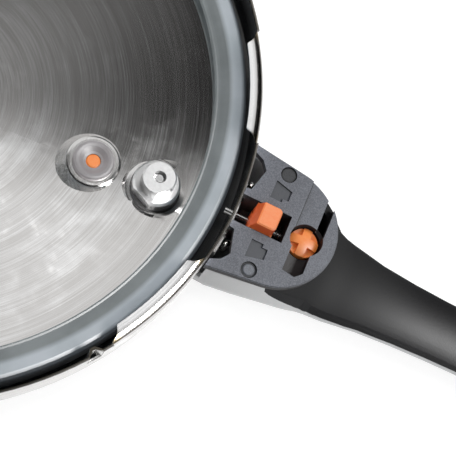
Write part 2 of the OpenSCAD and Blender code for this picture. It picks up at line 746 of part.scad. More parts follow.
module lid_shell() color("gainsboro") difference() {
  union() {
    difference() {
      dome_sheet();
      seat_opening(valve_x, valve_seat_z, valve_seat_r);
      seat_opening(gauge_x, gauge_seat_z, gauge_seat_r);
    }
    pressed_seat(valve_x, valve_seat_z, valve_seat_r);
    pressed_seat(gauge_x, gauge_seat_z, gauge_seat_r);
    difference() {
      rotate_extrude($fn = 180) wall_profile();
      seat_opening(valve_x, valve_seat_z, valve_seat_r);
      translate([0, 0, lid_h - lug_bend_r]) lug_places() linear_extrude(height = lug_bend_r + 1) lug_sector();
      rotate([0, 0, stop_deg])
        translate([lid_r - 2 * sheet, lap / 2 - stop_w / 2, lid_h - stop_h])
          cube([4 * sheet, stop_w - lap, stop_h + 1]);
    }
    intersection() {
      rotate_extrude($fn = 180) lug_profile();
      translate([0, 0, lid_h - lug_bend_r - 1]) lug_places()
        linear_extrude(height = lug_bend_r + 2) lug_plan();
    }
    wall_stop();
  }
  translate([valve_x, 0, 0]) cylinder(r = shank_r + slide_gap, h = seat_z);
  translate([gauge_x, 0, 0]) cylinder(r = neck_r, h = seat_z);
  translate([lid_r - 3, 0, pin_z]) rotate([0, 90, 0]) cylinder(r = pin_r + slide_gap, h = 6);
}

// The ring's top is flat along its outer half and falls in a soft bend to the lip.
module sealing_ring() color("lightslategray") rotate_extrude($fn = 180) translate([0, seat_z]) polygon([
  [ring_foot_r, 0],
  [ring_out_r - 0.8, 0],
  [ring_out_r, 0.8],
  [ring_out_r, ring_h - 2.6],
  [ring_out_r - 0.3, ring_h - 1.3],
  [ring_out_r - 1.1, ring_h - 0.4],
  [ring_out_r - 2.2, ring_h],
  [between(ring_in_r, ring_out_r, 0.55), ring_h],
  [between(ring_in_r, ring_out_r, 0.42), ring_h - ring_fall * 0.12],
  [between(ring_in_r, ring_out_r, 0.3), ring_h - ring_fall * 0.45],
  [between(ring_in_r, ring_out_r, 0.18), ring_h - ring_fall * 0.85],
  [ring_in_r + 1.2, ring_h - ring_fall],
  [ring_in_r + 0.6, ring_h - ring_fall + 0.15],
  [ring_in_r + 0.1, ring_h - ring_fall - 0.2],
  [ring_in_r, ring_h - ring_fall - 0.8],
  [ring_in_r + 0.5, ring_h - ring_fall - ring_lip * 0.8],
  [ring_in_r + ring_groove, ring_h - ring_fall - ring_lip],
  [ring_in_r + ring_groove, ring_lip + 0.6],
  [ring_foot_r, ring_lip * 0.7]
]);

// ---- safety valve ----

nut_z = valve_seat_z + washer_t;
head_z = nut_z + nut_h;
valve_top = head_z + head_h;
cap_z = valve_top - cap_t;
body_z = valve_seat_z - sheet;
stem_collar_z = cap_z - 1.5 - free_gap;

module valve_seal() color("darkgray") translate([valve_x, 0, valve_seat_z]) difference() {
  cylinder(r = nut_r + 0.25, h = washer_t);
  translate([0, 0, -1]) cylinder(r = shank_r + slide_gap, h = washer_t + 2);
}

// A flange nut with a collar: one flat on the flange, another on the collar for the spanner.
flat_at = 0.88; // distance of a flat from the axis, as a share of the radius
module cut_flat(r, h, turn) {
  rotate([0, 0, turn]) translate([r * flat_at, -r, -eps]) cube([r, 2 * r, h + 2 * eps]);
}
module valve_nut() color("silver") translate([valve_x, 0, nut_z]) difference() {
  union() {
    difference() {
      union() {
        cylinder(r = nut_r, h = nut_h - 0.8);
        translate([0, 0, nut_h - 0.8]) cylinder(r1 = nut_r, r2 = nut_r - 0.8, h = 0.8);
      }
      cut_flat(nut_r, nut_h, nut_turn);
    }
    translate([0, 0, nut_h - eps]) difference() {
      union() {
        cylinder(r = head_r, h = head_h - 0.6);
        translate([0, 0, head_h - 0.6]) cylinder(r1 = head_r, r2 = head_r - 0.6, h = 0.6 + eps);
      }
      cut_flat(head_r, head_h + eps, head_turn);
    }
  }
  translate([0, 0, -1]) cylinder(r = shank_r + 0.02, h = cap_z - nut_z + 1);
  cylinder(r = port_r, h = nut_h + head_h + 1);
}

module valve_body() color("silver") translate([valve_x, 0, body_z]) difference() {
  union() {
    translate([0, 0, -body_h]) cylinder(r = body_r, h = body_h, $fn = 6);
    translate([0, 0, -eps]) cylinder(r = shank_r, h = cap_z - body_z - free_gap);
  }
  translate([0, 0, -body_h - 1]) cylinder(r = stem_r + slide_gap, h = far);
  translate([0, 0, spring_seat]) cylinder(r = stem_collar_r + slide_gap, h = far);
}

module valve_stem() color("gainsboro") translate([valve_x, 0, 0]) {
  translate([0, 0, body_z - body_h + 0.4]) cylinder(r = stem_r, h = valve_top - 1.6 - body_z + body_h);
  translate([0, 0, stem_collar_z]) cylinder(r = stem_collar_r, h = 1.5);
  translate([0, 0, valve_top - 1.2 - eps]) cylinder(r1 = stem_r, r2 = stem_r - 0.4, h = 0.4);
}

module valve_spring() color("dimgray") translate([valve_x, 0, body_z + spring_seat + 0.05])
  coil(stem_collar_r - 0.55, 0.3, stem_collar_z - body_z - spring_seat - 0.1, 5);

// ---- pressure indicator ----

grommet_low = gauge_seat_z - sheet - grommet_lip;
gauge_bore = gauge_r + slide_gap;

module indicator_grommet() color("gray") translate([gauge_x, 0, 0]) rotate_extrude() polygon([
  [gauge_bore, grommet_low],
  [neck_r + 1.3, grommet_low],
  [neck_r + 1.3, gauge_seat_z - sheet],
  [neck_r, gauge_seat_z - sheet],
  [neck_r, gauge_seat_z],
  [grommet_r, gauge_seat_z],
  [grommet_r, gauge_seat_z + grommet_t * 0.55],
  [grommet_r - 0.4, gauge_seat_z + grommet_t * 0.9],
  [grommet_r - 1.2, gauge_seat_z + grommet_t],
  [grommet_r - 2.2, gauge_seat_z + grommet_t * 0.85],
  [gauge_bore + 0.9, gauge_seat_z + grommet_t * 0.15],
  [gauge_bore, gauge_seat_z]
]);

module indicator_pin() color("orangered") translate([gauge_x, 0, 0]) {
  translate([0, 0, gauge_low]) cylinder(r = gauge_r, h = gauge_seat_z - 0.3 - gauge_low);
  translate([0, 0, gauge_seat_z - 0.3 - eps]) cylinder(r1 = gauge_r, r2 = gauge_r - 0.5, h = 0.4);
  translate([0, 0, grommet_low - free_gap - gauge_collar_t]) cylinder(r = gauge_r + 1.6, h = gauge_collar_t);
}

module indicator_spring() color("dimgray") translate([gauge_x, 0, cover_wall + 0.05])
  coil(gauge_r + 1.05, 0.3, grommet_low - free_gap - gauge_collar_t - cover_wall - 0.1, 2);

// ---- handle ----

// Bracket welded to the wall: a curved strap with two studs that the handle hooks on.
module lid_bracket() color("gainsboro") difference() {
  union() {
    rotate([0, 0, -bracket_deg / 2]) rotate_extrude(angle = bracket_deg)
      translate([lid_r, bracket_z]) square([bracket_t, bracket_h]);
    for (side = [-1, 1]) translate([stud_x, side * stud_y, bracket_z]) {
      cylinder(r = stud_r, h = stud_h - stud_r);
      translate([0, 0, stud_h - stud_r]) sphere(r = stud_r);
      difference() {
        translate([-stud_x + lid_r - 1, -stud_r, 0]) cube([stud_x - lid_r + 1, 2 * stud_r, 1.6]);
        translate([-stud_x, -side * stud_y, -1]) cylinder(r = lid_r + bracket_t / 2, h = 4);
      }
    }
  }
  translate([lid_r - 1, 0, pin_z]) rotate([0, 90, 0]) cylinder(r = pin_r + slide_gap, h = 5);
}

module screw_places() {
  for (side = [-1, 1]) translate([screw_x, side * screw_y, 0]) children();
}

module button_pocket() {
  translate([button_x - free_gap, -button_half - free_gap, -1])
    cube([
      button_l + button_travel + 2 * free_gap,
      2 * (button_half + free_gap),
      button_t + 1 + 2 * free_gap]);
  translate([link_x - free_gap, -link_half - free_gap, 0])
    cube([link_t + button_travel + 2 * free_gap, 2 * (link_half + free_gap), deck_z / 2]);
}

module handle_cover() color("silver") difference() {
  union() {
    difference() {
      intersection() {
        handle_form(nose_x, handle_end);
        under_seam();
      }
      handle_room(nose_x + 2, join_x, cover_wall);
      mechanism_room();
      grip_core(cover_wall);
    }
    screw_places() translate([0, 0, boss_z]) cylinder(r = boss_r, h = deck_z - boss_z);
    translate([gauge_x, 0, cover_wall - eps]) cylinder(r = gauge_r + 2.9, h = 1);
  }
  lid_room(lid_gap);
  translate([0, 0, deck_z]) cylinder(r = lid_d, h = far);
  translate([0, 0, seat_h]) cylinder(r = tub_r, h = far);
  screw_places() translate([0, 0, boss_z + 2]) cylinder(r = screw_r + 0.03, h = far);
  translate([gauge_x, 0, -1]) {
    cylinder(r = gauge_bore, h = 5);
    translate([0, 0, 1 + cover_wall - 0.02]) cylinder(r = gauge_r + 1.9, h = 5);
  }
  translate([valve_x, 0, -1]) cylinder(r = vent_r, h = 5);
  button_pocket();
}

// The wall under the plate's round end, with a flare at its foot that runs out into the grip.
module end_flare() {
  foot_z = neck_h - 3;
  intersection() {
    translate([end_x, 0, 0]) rotate_extrude() {
      translate([0, foot_z]) square([end_r, deck_z - foot_z]);
      difference() {
        translate([end_r - 1, foot_z]) square([flare_r + 1, 3 + flare_r]);
        translate([end_r + flare_r, neck_h + flare_r]) circle(r = flare_r);
      }
    }
    linear_extrude(height = deck_z) polygon(concat(
      [for (k = [0:10]) let (x = between(end_x, neck_x, k / 10)) [x, half_w(x)]],
      [for (k = [10:-1:0]) let (x = between(end_x, neck_x, k / 10)) [x, -half_w(x)]]));
  }
}

module handle_grip() color([0.1, 0.1, 0.11]) difference() {
  union() {
    handle_form(join_x, handle_end);
    end_flare();
  }
  difference() {
    under_seam();
    grip_core(cover_wall + 0.1);
  }
  mechanism_room();
  button_pocket();
}

module plate_outline() {
  translate([end_x, 0]) circle(r = end_r);
  dx = end_r * sin(taper_deg);
  dy = end_r * cos(taper_deg);
  back = 14;
  polygon([
    [lid_r - back, rim_half_w + back * tan(taper_deg)],
    [end_x + dx, dy],
    [end_x + dx, -dy],
    [lid_r - back, -rim_half_w - back * tan(taper_deg)]
  ]);
}

// The opening beside the wall over one stud.
module stud_opening() {
  polygon([
    [lid_r - 2, stud_y - 4.6],
    [lid_r + stud_reach * 0.5, stud_y - 3.8],
    [lid_r + stud_reach, stud_y + 4.8],
    [lid_r + stud_reach * 0.45, stud_y + 8],
    [lid_r - 2, stud_y + 9.8]]);
}

// A shallow recess with a notch, one beside each stud.
module shallow_recess() {
  translate([lid_r + recess_out, recess_y]) polygon([
    [0, 0],
    [recess_l - recess_notch, 0],
    [recess_l - recess_notch, recess_notch * 0.65],
    [recess_l, recess_notch * 0.65],
    [recess_l, recess_w * 0.76],
    [0, recess_w]]);
}

module base_plate() color([0.27, 0.28, 0.3]) difference() {
  union() {
    translate([0, 0, deck_z]) linear_extrude(height = plate_t - plate_bevel) plate_outline();
    translate([0, 0, plate_z - plate_bevel - eps]) linear_extrude(height = plate_bevel + eps)
      intersection() {
        translate([-plate_bevel, 0]) plate_outline();
        translate([0, -plate_bevel / 2]) plate_outline();
        translate([0, plate_bevel / 2]) plate_outline();
      }
    difference() {
      translate([lid_r, -channel_half - tub_wall, tub_z])
        cube([channel_end + tub_wall - lid_r, 2 * (channel_half + tub_wall), deck_z - tub_z + eps]);
      cylinder(r = tub_r, h = lid_h);
    }
    translate([plunger_x, 0, well_z])
      cylinder(r = plunger_r + well_gap + tub_wall, h = deck_z - well_z + eps);
    intersection() {
      translate([cam_x0 - tub_wall, -cam_y - tub_wall, cam_z - tub_wall])
        cube([cam_x1 - cam_x0 + 2 * tub_wall, cam_y, deck_z - cam_z + tub_wall + eps]);
      translate([end_x, 0, 0]) cylinder(r = end_r - grip_wall - 0.2, h = lid_h);
    }
  }
  cylinder(r = lid_r + rim_gap, h = far);
  // channel of the release block
  translate([lid_r, -channel_half, tub_z + tub_wall]) cube([channel_end - lid_r, 2 * channel_half, far]);
  // plunger's well and its guide
  translate([plunger_x, 0, 0]) {
    cylinder(r = plunger_r + slide_gap, h = far);
    translate([0, 0, well_z + guide_h]) cylinder(r = plunger_r + well_gap, h = far);
  }
  // path of the pot's cam: sunk on one side of the plunger, stepped on the other, with a slot beyond it
  translate([0, 0, cam_z]) linear_extrude(height = far) polygon([
    [cam_x0, -plunger_r * 0.6], [cam_x0, -cam_y + 0.7], [cam_x1 - cam_bevel, -cam_y],
    [cam_x1, -cam_y + cam_bevel], [cam_x1, -plunger_r * 0.6]]);
  translate([cam_x0 - 1.4, 3, plate_z - step_t]) cube([cam_x1 - cam_x0 + 0.4, far, far]);
  translate([cam_x1 - 1, 3, deck_z - 1]) cube([slot_w, far, far]);
  for (side = [-1, 1]) scale([1, side, 1]) {
    translate([0, 0, deck_z - 1]) linear_extrude(height = far) stud_opening();
    translate([0, 0, plate_z - recess_t]) linear_extrude(height = far) shallow_recess();
  }
  screw_places() {
    translate([0, 0, plate_z - cap_depth]) cylinder(r = cap_hole_r, h = far);
    translate([0, 0, deck_z / 2]) cylinder(r = screw_r + 0.15, h = far);
  }
  // seat of the guide pin
  translate([channel_end - 1, 0, pin_z]) rotate([0, 90, 0]) cylinder(r = guide_r + 0.01, h = tub_wall + 0.8);
}

cap_seat = plate_z - cap_depth + screw_head_t;

module handle_screws() color("silver") screw_places() {
  translate([0, 0, boss_z + 2.4]) cylinder(r = screw_r, h = plate_z - cap_depth - boss_z - 2.4 + eps);
  translate([0, 0, plate_z - cap_depth]) difference() {
    cylinder(r = cap_hole_r - 0.35, h = screw_head_t);
    translate([-3, -0.3, 0.35]) cube([6, 0.6, 2]);
  }
}

module screw_cover_recessed() color([0.16, 0.17, 0.19]) translate([screw_x, screw_y, cap_seat]) {
  cylinder(r = cap_hole_r - 0.1, h = 0.3);
  translate([0, 0, 0.3 - eps]) cylinder(r1 = cap_hole_r - 0.1, r2 = cap_hole_r - 0.4, h = 0.25);
}

module screw_cover_flush() color([0.27, 0.28, 0.3]) translate([screw_x, -screw_y, cap_seat]) {
  cylinder(r = cap_hole_r - 0.1, h = 0.25);
  cylinder(r = cap_hole_r - 0.9, h = plate_z - cap_seat - 0.3);
  translate([0, 0, plate_z - cap_seat - 0.3 - eps])
    cylinder(r1 = cap_hole_r - 0.9, r2 = cap_hole_r - 1.2, h = 0.3);
}

// ---- release slider ----

// A rectangle with rounded corners as a ring of points at height z.
function rect_ring(x0, x1, half, r0, r1, z) = [for (p = concat(
  quarter(x1 - r1, half - r1, r1, 0), quarter(x0 + r0, half - r0, r0, 90),
  quarter(x0 + r0, r0 - half, r0, 180), quarter(x1 - r1, r1 - half, r1, 270))) [p[0], p[1], z]];

block_z = tub_z + tub_wall + free_gap;
block_base_x = block_x - 1.8;
block_body_half = channel_half - free_gap;

module release_block() color("darkorange") difference() {
  union() {
    translate([block_base_x, -block_body_half, block_z])
      cube([block_end - block_base_x, 2 * block_body_half, plate_z - 0.6 - block_z + eps]);
    loft([
      rect_ring(block_base_x, block_end, block_body_half, 0.3, 0.5, plate_z - 0.6),
      rect_ring(block_base_x + 0.2, block_end, block_body_half - 0.3, 0.4, 1, plate_z),
      rect_ring(block_x - 0.15, block_end, block_half + 0.05, 0.5, 1.6, plate_z + block_rise - 0.5),
      rect_ring(block_x + 0.35, block_end - 0.4, block_half - 0.4, 0.5, 1.6, plate_z + block_rise)]);
  }
  translate([block_base_x - 1, 0, pin_z]) rotate([0, 90, 0]) cylinder(r = pin_r + 0.02, h = pin_hold + 1);
  translate([block_end - coil_hold, 0, pin_z]) rotate([0, 90, 0]) cylinder(r = coil_r + 0.5, h = 10);
}

module release_pin() color("gainsboro") translate([lid_r - pin_reach, 0, pin_z]) rotate([0, 90, 0]) {
  cylinder(r1 = pin_r - 0.5, r2 = pin_r, h = 0.6);
  translate([0, 0, 0.6 - eps])
    cylinder(r = pin_r, h = block_base_x + pin_hold - 0.1 - lid_r + pin_reach - 0.6);
}

module guide_pin() color("gainsboro") translate([block_end, 0, pin_z]) rotate([0, 90, 0])
  cylinder(r = guide_r, h = channel_end + tub_wall - 0.25 - block_end);

module release_spring() color("dimgray")
  translate([block_end - coil_hold + 0.05, 0, pin_z]) rotate([0, 90, 0])
    coil(coil_r, 0.25, channel_end - block_end + coil_hold - 0.1, 5);

// ---- lock plunger ----

module lock_plunger() color("orangered") translate([plunger_x, 0, 0]) {
  difference() {
    intersection() {
      translate([0, 0, well_z + 0.4]) cylinder(r = plunger_r, h = plunger_top - well_z - 0.4);
      translate([0, 0, plunger_top - dome_ball]) sphere(r = dome_ball);
    }
    for (k = [0:3]) rotate([0, 0, rib_turn + 45 + 90 * k]) translate([0, 0, plunger_top - notch_h])
      linear_extrude(height = notch_h + 1) translate([rib_w / sqrt(2), 0])
        polygon([[0, 0], [plunger_r, plunger_r], [2 * plunger_r, 0], [plunger_r, -plunger_r]]);
  }
  translate([0, 0, flange_top - eps]) cylinder(r = plunger_stem_r, h = well_z + 0.6 - flange_top);
  translate([0, 0, flange_top - 1.4]) cylinder(r = plunger_flange_r, h = 1.4);
}

module plunger_spring() color("dimgray") translate([plunger_x, 0, grip_wall + 0.1])
  coil(plunger_flange_r - 0.6, 0.3, flange_top - 1.4 - grip_wall - 0.15, 4);

// ---- opening button ----

module opening_button() color([0.12, 0.12, 0.13]) difference() {
  union() {
    translate([button_x, -button_half, button_sink]) cube([button_l, 2 * button_half, button_t]);
    translate([link_x, -link_half, button_sink + button_t - eps]) cube([link_t, 2 * link_half, post_foot]);
  }
  for (k = [0:4]) translate([button_x + 4 + 2.6 * k, 0, button_sink - 0.3]) rotate([90, 0, 0])
    cylinder(r = 0.7, h = far, center = true);
}

// A fork over the plunger's flange: its underside slopes, so that pulling it back presses the plunger down.
module button_link() color("dimgray") {
  rail_z = flange_top + free_gap;
  ramp_end = plunger_x - plunger_flange_r;
  ramp_start = ramp_end - button_travel;
  side_y = plunger_stem_r + free_gap;
  for (side = [-1, 1]) translate([0, side * (side_y + rail_w / 2), 0]) rotate([90, 0, 0])
    linear_extrude(height = rail_w, center = true) polygon([
      [ramp_start, rail_z - plunger_travel], [ramp_end, rail_z], [link_x + link_t, rail_z],
      [link_x + link_t, rail_z + rail_t], [ramp_end - 0.8, rail_z + rail_t],
      [ramp_start, rail_z + rail_t - plunger_travel]]);
  translate([link_x, -side_y - rail_w, button_sink + button_t + post_foot - eps])
    cube([link_t, 2 * (side_y + rail_w), rail_z + rail_t - button_sink - button_t - post_foot]);
}

module button_spring() color("dimgray") translate([link_x + link_t + 0.05, 0, link_z]) rotate([0, 90, 0])
  coil(spring_r - 0.3, 0.3, room_end + spring_pocket - link_x - link_t - 0.1, 8);

lid_shell();
sealing_ring();
indicator_grommet();
indicator_pin();
indicator_spring();
valve_body();
valve_nut();
valve_seal();
valve_stem();
valve_spring();
lid_bracket();
handle_cover();
handle_grip();
base_plate();
screw_cover_recessed();
screw_cover_flush();
handle_screws();
release_block();
release_pin();
guide_pin();
release_spring();
lock_plunger();
plunger_spring();
opening_button();
button_link();
button_spring();
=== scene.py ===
# %% [markdown]
# # The lid of a pressure cooker
# This notebook dresses a finished mechanical model: a spun steel lid seen from its inner side, with its
# sealing ring, valve, indicator, and a long handle that holds an orange release slider and a lock plunger.
# The metal and plastic pieces come from the packed model and stay where they are. What is added here is
# the finish of each piece, five wound springs, the light and the camera.

# %% Load the packed model as a fixed frame
import math
import bpy
from mathutils import Matrix, Vector


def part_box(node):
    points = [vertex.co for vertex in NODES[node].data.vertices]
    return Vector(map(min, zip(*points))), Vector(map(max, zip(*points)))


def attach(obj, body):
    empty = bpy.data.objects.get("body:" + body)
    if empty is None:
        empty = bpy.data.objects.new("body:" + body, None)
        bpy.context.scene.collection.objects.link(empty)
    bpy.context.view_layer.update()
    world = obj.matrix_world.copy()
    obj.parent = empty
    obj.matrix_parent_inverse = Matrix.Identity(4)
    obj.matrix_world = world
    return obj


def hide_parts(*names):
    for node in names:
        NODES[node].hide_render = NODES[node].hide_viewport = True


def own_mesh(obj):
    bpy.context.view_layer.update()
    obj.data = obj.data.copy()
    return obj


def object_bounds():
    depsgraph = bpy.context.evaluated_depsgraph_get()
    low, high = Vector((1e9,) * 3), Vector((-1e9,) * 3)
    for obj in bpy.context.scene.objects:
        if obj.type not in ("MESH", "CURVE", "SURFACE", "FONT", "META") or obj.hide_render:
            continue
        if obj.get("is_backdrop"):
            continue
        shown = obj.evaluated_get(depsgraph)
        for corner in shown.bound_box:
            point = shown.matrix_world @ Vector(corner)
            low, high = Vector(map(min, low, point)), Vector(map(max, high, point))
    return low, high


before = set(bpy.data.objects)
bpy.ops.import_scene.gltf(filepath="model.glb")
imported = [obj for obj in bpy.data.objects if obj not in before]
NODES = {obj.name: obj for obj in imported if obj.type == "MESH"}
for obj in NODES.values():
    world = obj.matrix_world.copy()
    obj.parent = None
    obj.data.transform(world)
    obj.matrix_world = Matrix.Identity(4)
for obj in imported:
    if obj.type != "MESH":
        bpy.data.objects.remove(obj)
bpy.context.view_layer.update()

MM = 0.001

# %% [markdown]
# ## Shader maths in Python
# A finish is a small sum: fine lines here, a little wear there. Such a sum could be wired by hand, but it
# takes dozens of Math nodes. Here a socket is wrapped in a class whose operators add those nodes, so that
# `1 - mask` reads as it would on paper.

# %% A socket that can be added, multiplied and compared
class Sock:
    """One output of a shader node, or a plain number, with operators that add Math nodes."""

    def __init__(self, tree, value):
        self.tree = tree
        self.value = value

    def math(self, op, *others):
        return self.tree.node("ShaderNodeMath", {"operation": op}, [self, *others])

    def __add__(self, other): return self.math("ADD", other)
    def __radd__(self, other): return self.math("ADD", other)
    def __mul__(self, other): return self.math("MULTIPLY", other)
    def __rmul__(self, other): return self.math("MULTIPLY", other)
    def __sub__(self, other): return self.math("SUBTRACT", other)
    def __rsub__(self, other): return Sock(self.tree, other).math("SUBTRACT", self)
    def __truediv__(self, other): return self.math("DIVIDE", other)
    def __pow__(self, other): return self.math("POWER", other)
    def __abs__(self): return self.math("ABSOLUTE")

    def clamp(self):
        return self.tree.node("ShaderNodeClamp", {}, [self, 0.0, 1.0])

    def step(self, low, high):
        """0 below low, 1 above high, and a smooth rise between them."""
        return self.tree.node(
            "ShaderNodeMapRange", {"interpolation_type": "SMOOTHSTEP"},
            {"Value": self, "From Min": low, "From Max": high, "To Min": 0.0, "To Max": 1.0})


print("a socket now takes + - * / ** abs(), clamp() and step()")

# %% [markdown]
# ## A tree of nodes
# Materials, the world and Geometry Nodes are all trees, and in each of them a node is a type, a few
# settings, and values or links on its sockets. One method adds any node in that order. The nodes that are
# used most get short names of their own, and each of those names goes through the same method.

# %% One method that adds a node
class Tree:
    """A node tree, with short names for the nodes that are used most."""

    def __init__(self, tree):
        self.tree = tree

    def plug(self, value, socket):
        value = value.value if isinstance(value, Sock) else value
        if isinstance(value, bpy.types.NodeSocket):
            self.tree.links.new(value, socket)
        else:
            socket.default_value = value

    def node(self, kind, settings, inputs, out=0):
        """Adds a node: its settings first, then the values or links of its sockets, by place or by name."""
        made = self.tree.nodes.new(kind)
        for key, value in settings.items():
            setattr(made, key, value)
        named = inputs.items() if isinstance(inputs, dict) else enumerate(inputs)
        for key, value in named:
            self.plug(value, made.inputs[key])
        return Sock(self, made.outputs[out]) if len(made.outputs) else None

    def outputs(self, sock, names):
        """Several outputs of the node that this socket belongs to."""
        return [Sock(self, sock.value.node.outputs[name]) for name in names]

    def place(self):
        """The point on the piece, in metres, in the row's frame."""
        return self.node("ShaderNodeTexCoord", {}, {}, "Object")

    def facing(self):
        """The surface's own direction, before any bump."""
        return self.node("ShaderNodeNewGeometry", {}, {}, "Normal")

    def split(self, vector):
        return self.outputs(self.node("ShaderNodeSeparateXYZ", {}, [vector]), "XYZ")

    def join(self, x, y, z):
        return self.node("ShaderNodeCombineXYZ", {}, [x, y, z])

    def unit(self, vector):
        return self.node("ShaderNodeVectorMath", {"operation": "NORMALIZE"}, [vector])

    def blend(self, kind, mask, first, second):
        """A Mix node. Its sockets share their names between kinds, so they are given by number."""
        low, out = {"VECTOR": (4, 1), "RGBA": (6, 2)}[kind]
        return self.node("ShaderNodeMix", {"data_type": kind}, {0: mask, low: first, low + 1: second}, out)

    def mix(self, mask, first, second):
        """The first colour where the mask is 0, the second where it is 1."""
        return self.blend("RGBA", mask, first, second)

    def lean(self, mask, first, second):
        """A direction between two directions."""
        return self.unit(self.blend("VECTOR", mask, first, second))

    def noise(self, vector, scale, detail=2.0, rough=0.5):
        return self.node("ShaderNodeTexNoise", {"noise_dimensions": "3D"},
                         {"Vector": vector, "Scale": scale, "Detail": detail, "Roughness": rough})

    def bump(self, height, strength, distance, normal=None):
        sockets = {"Height": height, "Strength": strength, "Distance": distance}
        if normal:
            sockets["Normal"] = normal
        return self.node("ShaderNodeBump", {}, sockets)


print("a tree has", ", ".join(name for name in vars(Tree) if not name.startswith("_")))

# %% [markdown]
# ## A finish and the pieces that carry it
# A finish here is one Principled shader. Colours are written from 0 to 255, as a painter's chart gives
# them, and turned into the renderer's linear values. A material is put on a piece of the packed model by
# its name, which leaves the piece's shape and place alone.

# %% Materials and colours
class Paint(Tree):
    """A new material's tree, emptied."""

    def __init__(self, name):
        self.material = bpy.data.materials.new(name)
        self.material.use_nodes = True
        super().__init__(self.material.node_tree)
        self.tree.nodes.clear()

    def finish(self, **sockets):
        """The Principled shader with these sockets, led to the output."""
        shader = self.node("ShaderNodeBsdfPrincipled", {},
                           {key.replace("_", " "): value for key, value in sockets.items()})
        self.node("ShaderNodeOutputMaterial", {}, [shader])
        return self.material


def rgb(r, g, b):
    """A colour from 0 to 255 as the eye reads it, in linear values by the sRGB curve."""
    def linear(v):
        v /= 255
        return v / 12.92 if v <= 0.04045 else ((v + 0.055) / 1.055) ** 2.4
    return (linear(r), linear(g), linear(b), 1.0)


def dress(material, *names):
    for name in names:
        data = NODES[name].data
        data.materials.clear()
        data.materials.append(material)
    print(material.name, "on", ", ".join(names))


print("middle grey, 128 of 255, is", round(rgb(128, 128, 128)[0], 3), "in linear values")

# %% [markdown]
# ## Lines round the lid's axis
# A lid like this is pressed from sheet and brushed on a lathe, so its finest lines are circles round its
# axis. Rings at even distances would look drawn, because real brushing is uneven. So the lines are noise
# that is read by radius: many cells per metre outwards, and hardly any change along a circle.

# %% Noise in circles
NEVER_ZERO = 1e-5


def from_axis(paint):
    """The distance from the lid's axis."""
    x, y, _ = paint.split(paint.place())
    return (x * x + y * y) ** 0.5


def ring_lines(paint, along, across, detail, rough):
    """Noise with `across` cells per metre of radius and about `along` cells round the circle."""
    x, y, z = paint.split(paint.place())
    radius = from_axis(paint)
    safe = radius + NEVER_ZERO
    at = paint.join(x / safe * along, y / safe * along, radius * across + z * across)
    return paint.noise(at, 1.0, detail, rough)


# %% [markdown]
# ## How the pressing turns at the ring's seat
# On the real lid the dome runs into the seat of the sealing ring in one soft curve. The packed model has a
# short steep rise there, which would mirror the horizon as a hard line. A new mesh could be softer, but the
# packed one stays as it is. So the steel on that rise is shaded with the dome's own direction, which points
# at the middle of the dome's sphere.

# %% The direction that the steel is shaded with
DOME_MIDDLE_Z = 293.1 * MM
RISE_FROM_AXIS = 94.6 * MM, 95.0 * MM
RISE_TOP = 23.0 * MM, 23.4 * MM
FACES_UP = 0.1, 0.2


def pressed_normal(paint):
    """The surface's own direction, but the dome's on the short rise between the dome and the ring's seat."""
    x, y, z = paint.split(paint.place())
    own = paint.facing()
    rise = from_axis(paint).step(*RISE_FROM_AXIS) * (1 - z.step(*RISE_TOP))
    inner_side = paint.split(own)[2].step(*FACES_UP)
    dome = paint.unit(paint.join(-1 * x, -1 * y, DOME_MIDDLE_Z - z))
    return paint.lean(rise * inner_side, own, dome)


print("the dome's sphere has its middle", round(DOME_MIDDLE_Z / MM, 1), "mm over the crown")

# %% [markdown]
# ## Marks and painted light on the rim
# The lugs are bent inward from the wall. The steel is brownish at their ends. A lug is painted bright on
# its flat, a painted highlight, and darker on its bend, a painted shade. The wall's cut edge between two
# lugs is rounded on its inner side, and that edge's shading is painted as a thin dark line, a painted shade.
# Each mark repeats with the lugs, so it is found from the angle to the nearest lug, and not from eight lists
# of places.

# %% Masks for the rim
LID_R, LID_H = 118 * MM, 34 * MM
FIRST_LUG, LUG_PITCH = math.radians(21.8), math.radians(45.2)
FULL_TURN = 2 * math.pi
BROWN_BEGINS = math.radians(8.2), math.radians(9.4)
BROWN_ENDS = math.radians(10.3), math.radians(10.4)
EDGE_BEGINS = math.radians(10.6), math.radians(10.7)
LUG_Z = LID_H - 1.2 * MM, LID_H - 0.9 * MM
EDGE_Z = LID_H - 0.1 * MM, LID_H - 0.05 * MM
EDGE_R = LID_R - 0.5 * MM, LID_R - 0.4 * MM
BEND_R = LID_R - 4.2 * MM, LID_R - 1.2 * MM


def rim_marks(paint):
    """Four masks: the lugs' brownish ends, painted shade on the rounded side of the cut edge, painted shade
    on the lugs' bend, and their whole upper side, which takes a painted highlight.
    """
    x, y, z = paint.split(paint.place())
    radius = from_axis(paint)
    angle = y.math("ARCTAN2", x)
    angle = angle + (1 - angle.step(-NEVER_ZERO, 0.0)) * FULL_TURN
    turns = (angle - FIRST_LUG) / LUG_PITCH
    from_lug = abs(turns - turns.math("ROUND")) * LUG_PITCH
    top = z.step(*LUG_Z)
    brown_end = top * from_lug.step(*BROWN_BEGINS) * (1 - from_lug.step(*BROWN_ENDS))
    edge_shade = z.step(*EDGE_Z) * from_lug.step(*EDGE_BEGINS) * (1 - radius.step(*EDGE_R))
    lug = top * (1 - edge_shade)
    return brown_end, edge_shade, lug * radius.step(*BEND_R), lug


print("first lug at", round(math.degrees(FIRST_LUG), 1), "degrees, the next after",
      round(math.degrees(LUG_PITCH), 1))

# %% [markdown]
# ## Spun steel
# Bare stainless steel has little colour of its own: what it mirrors makes most of its look. A scan of
# brushed metal could be wrapped round the lid, but it would repeat. So three things are added to a plain
# metal: fine lines in its tone, roughness and bump, a few soft scuffs from handling, and anisotropy, which
# stretches every highlight across the lines as brushing does.

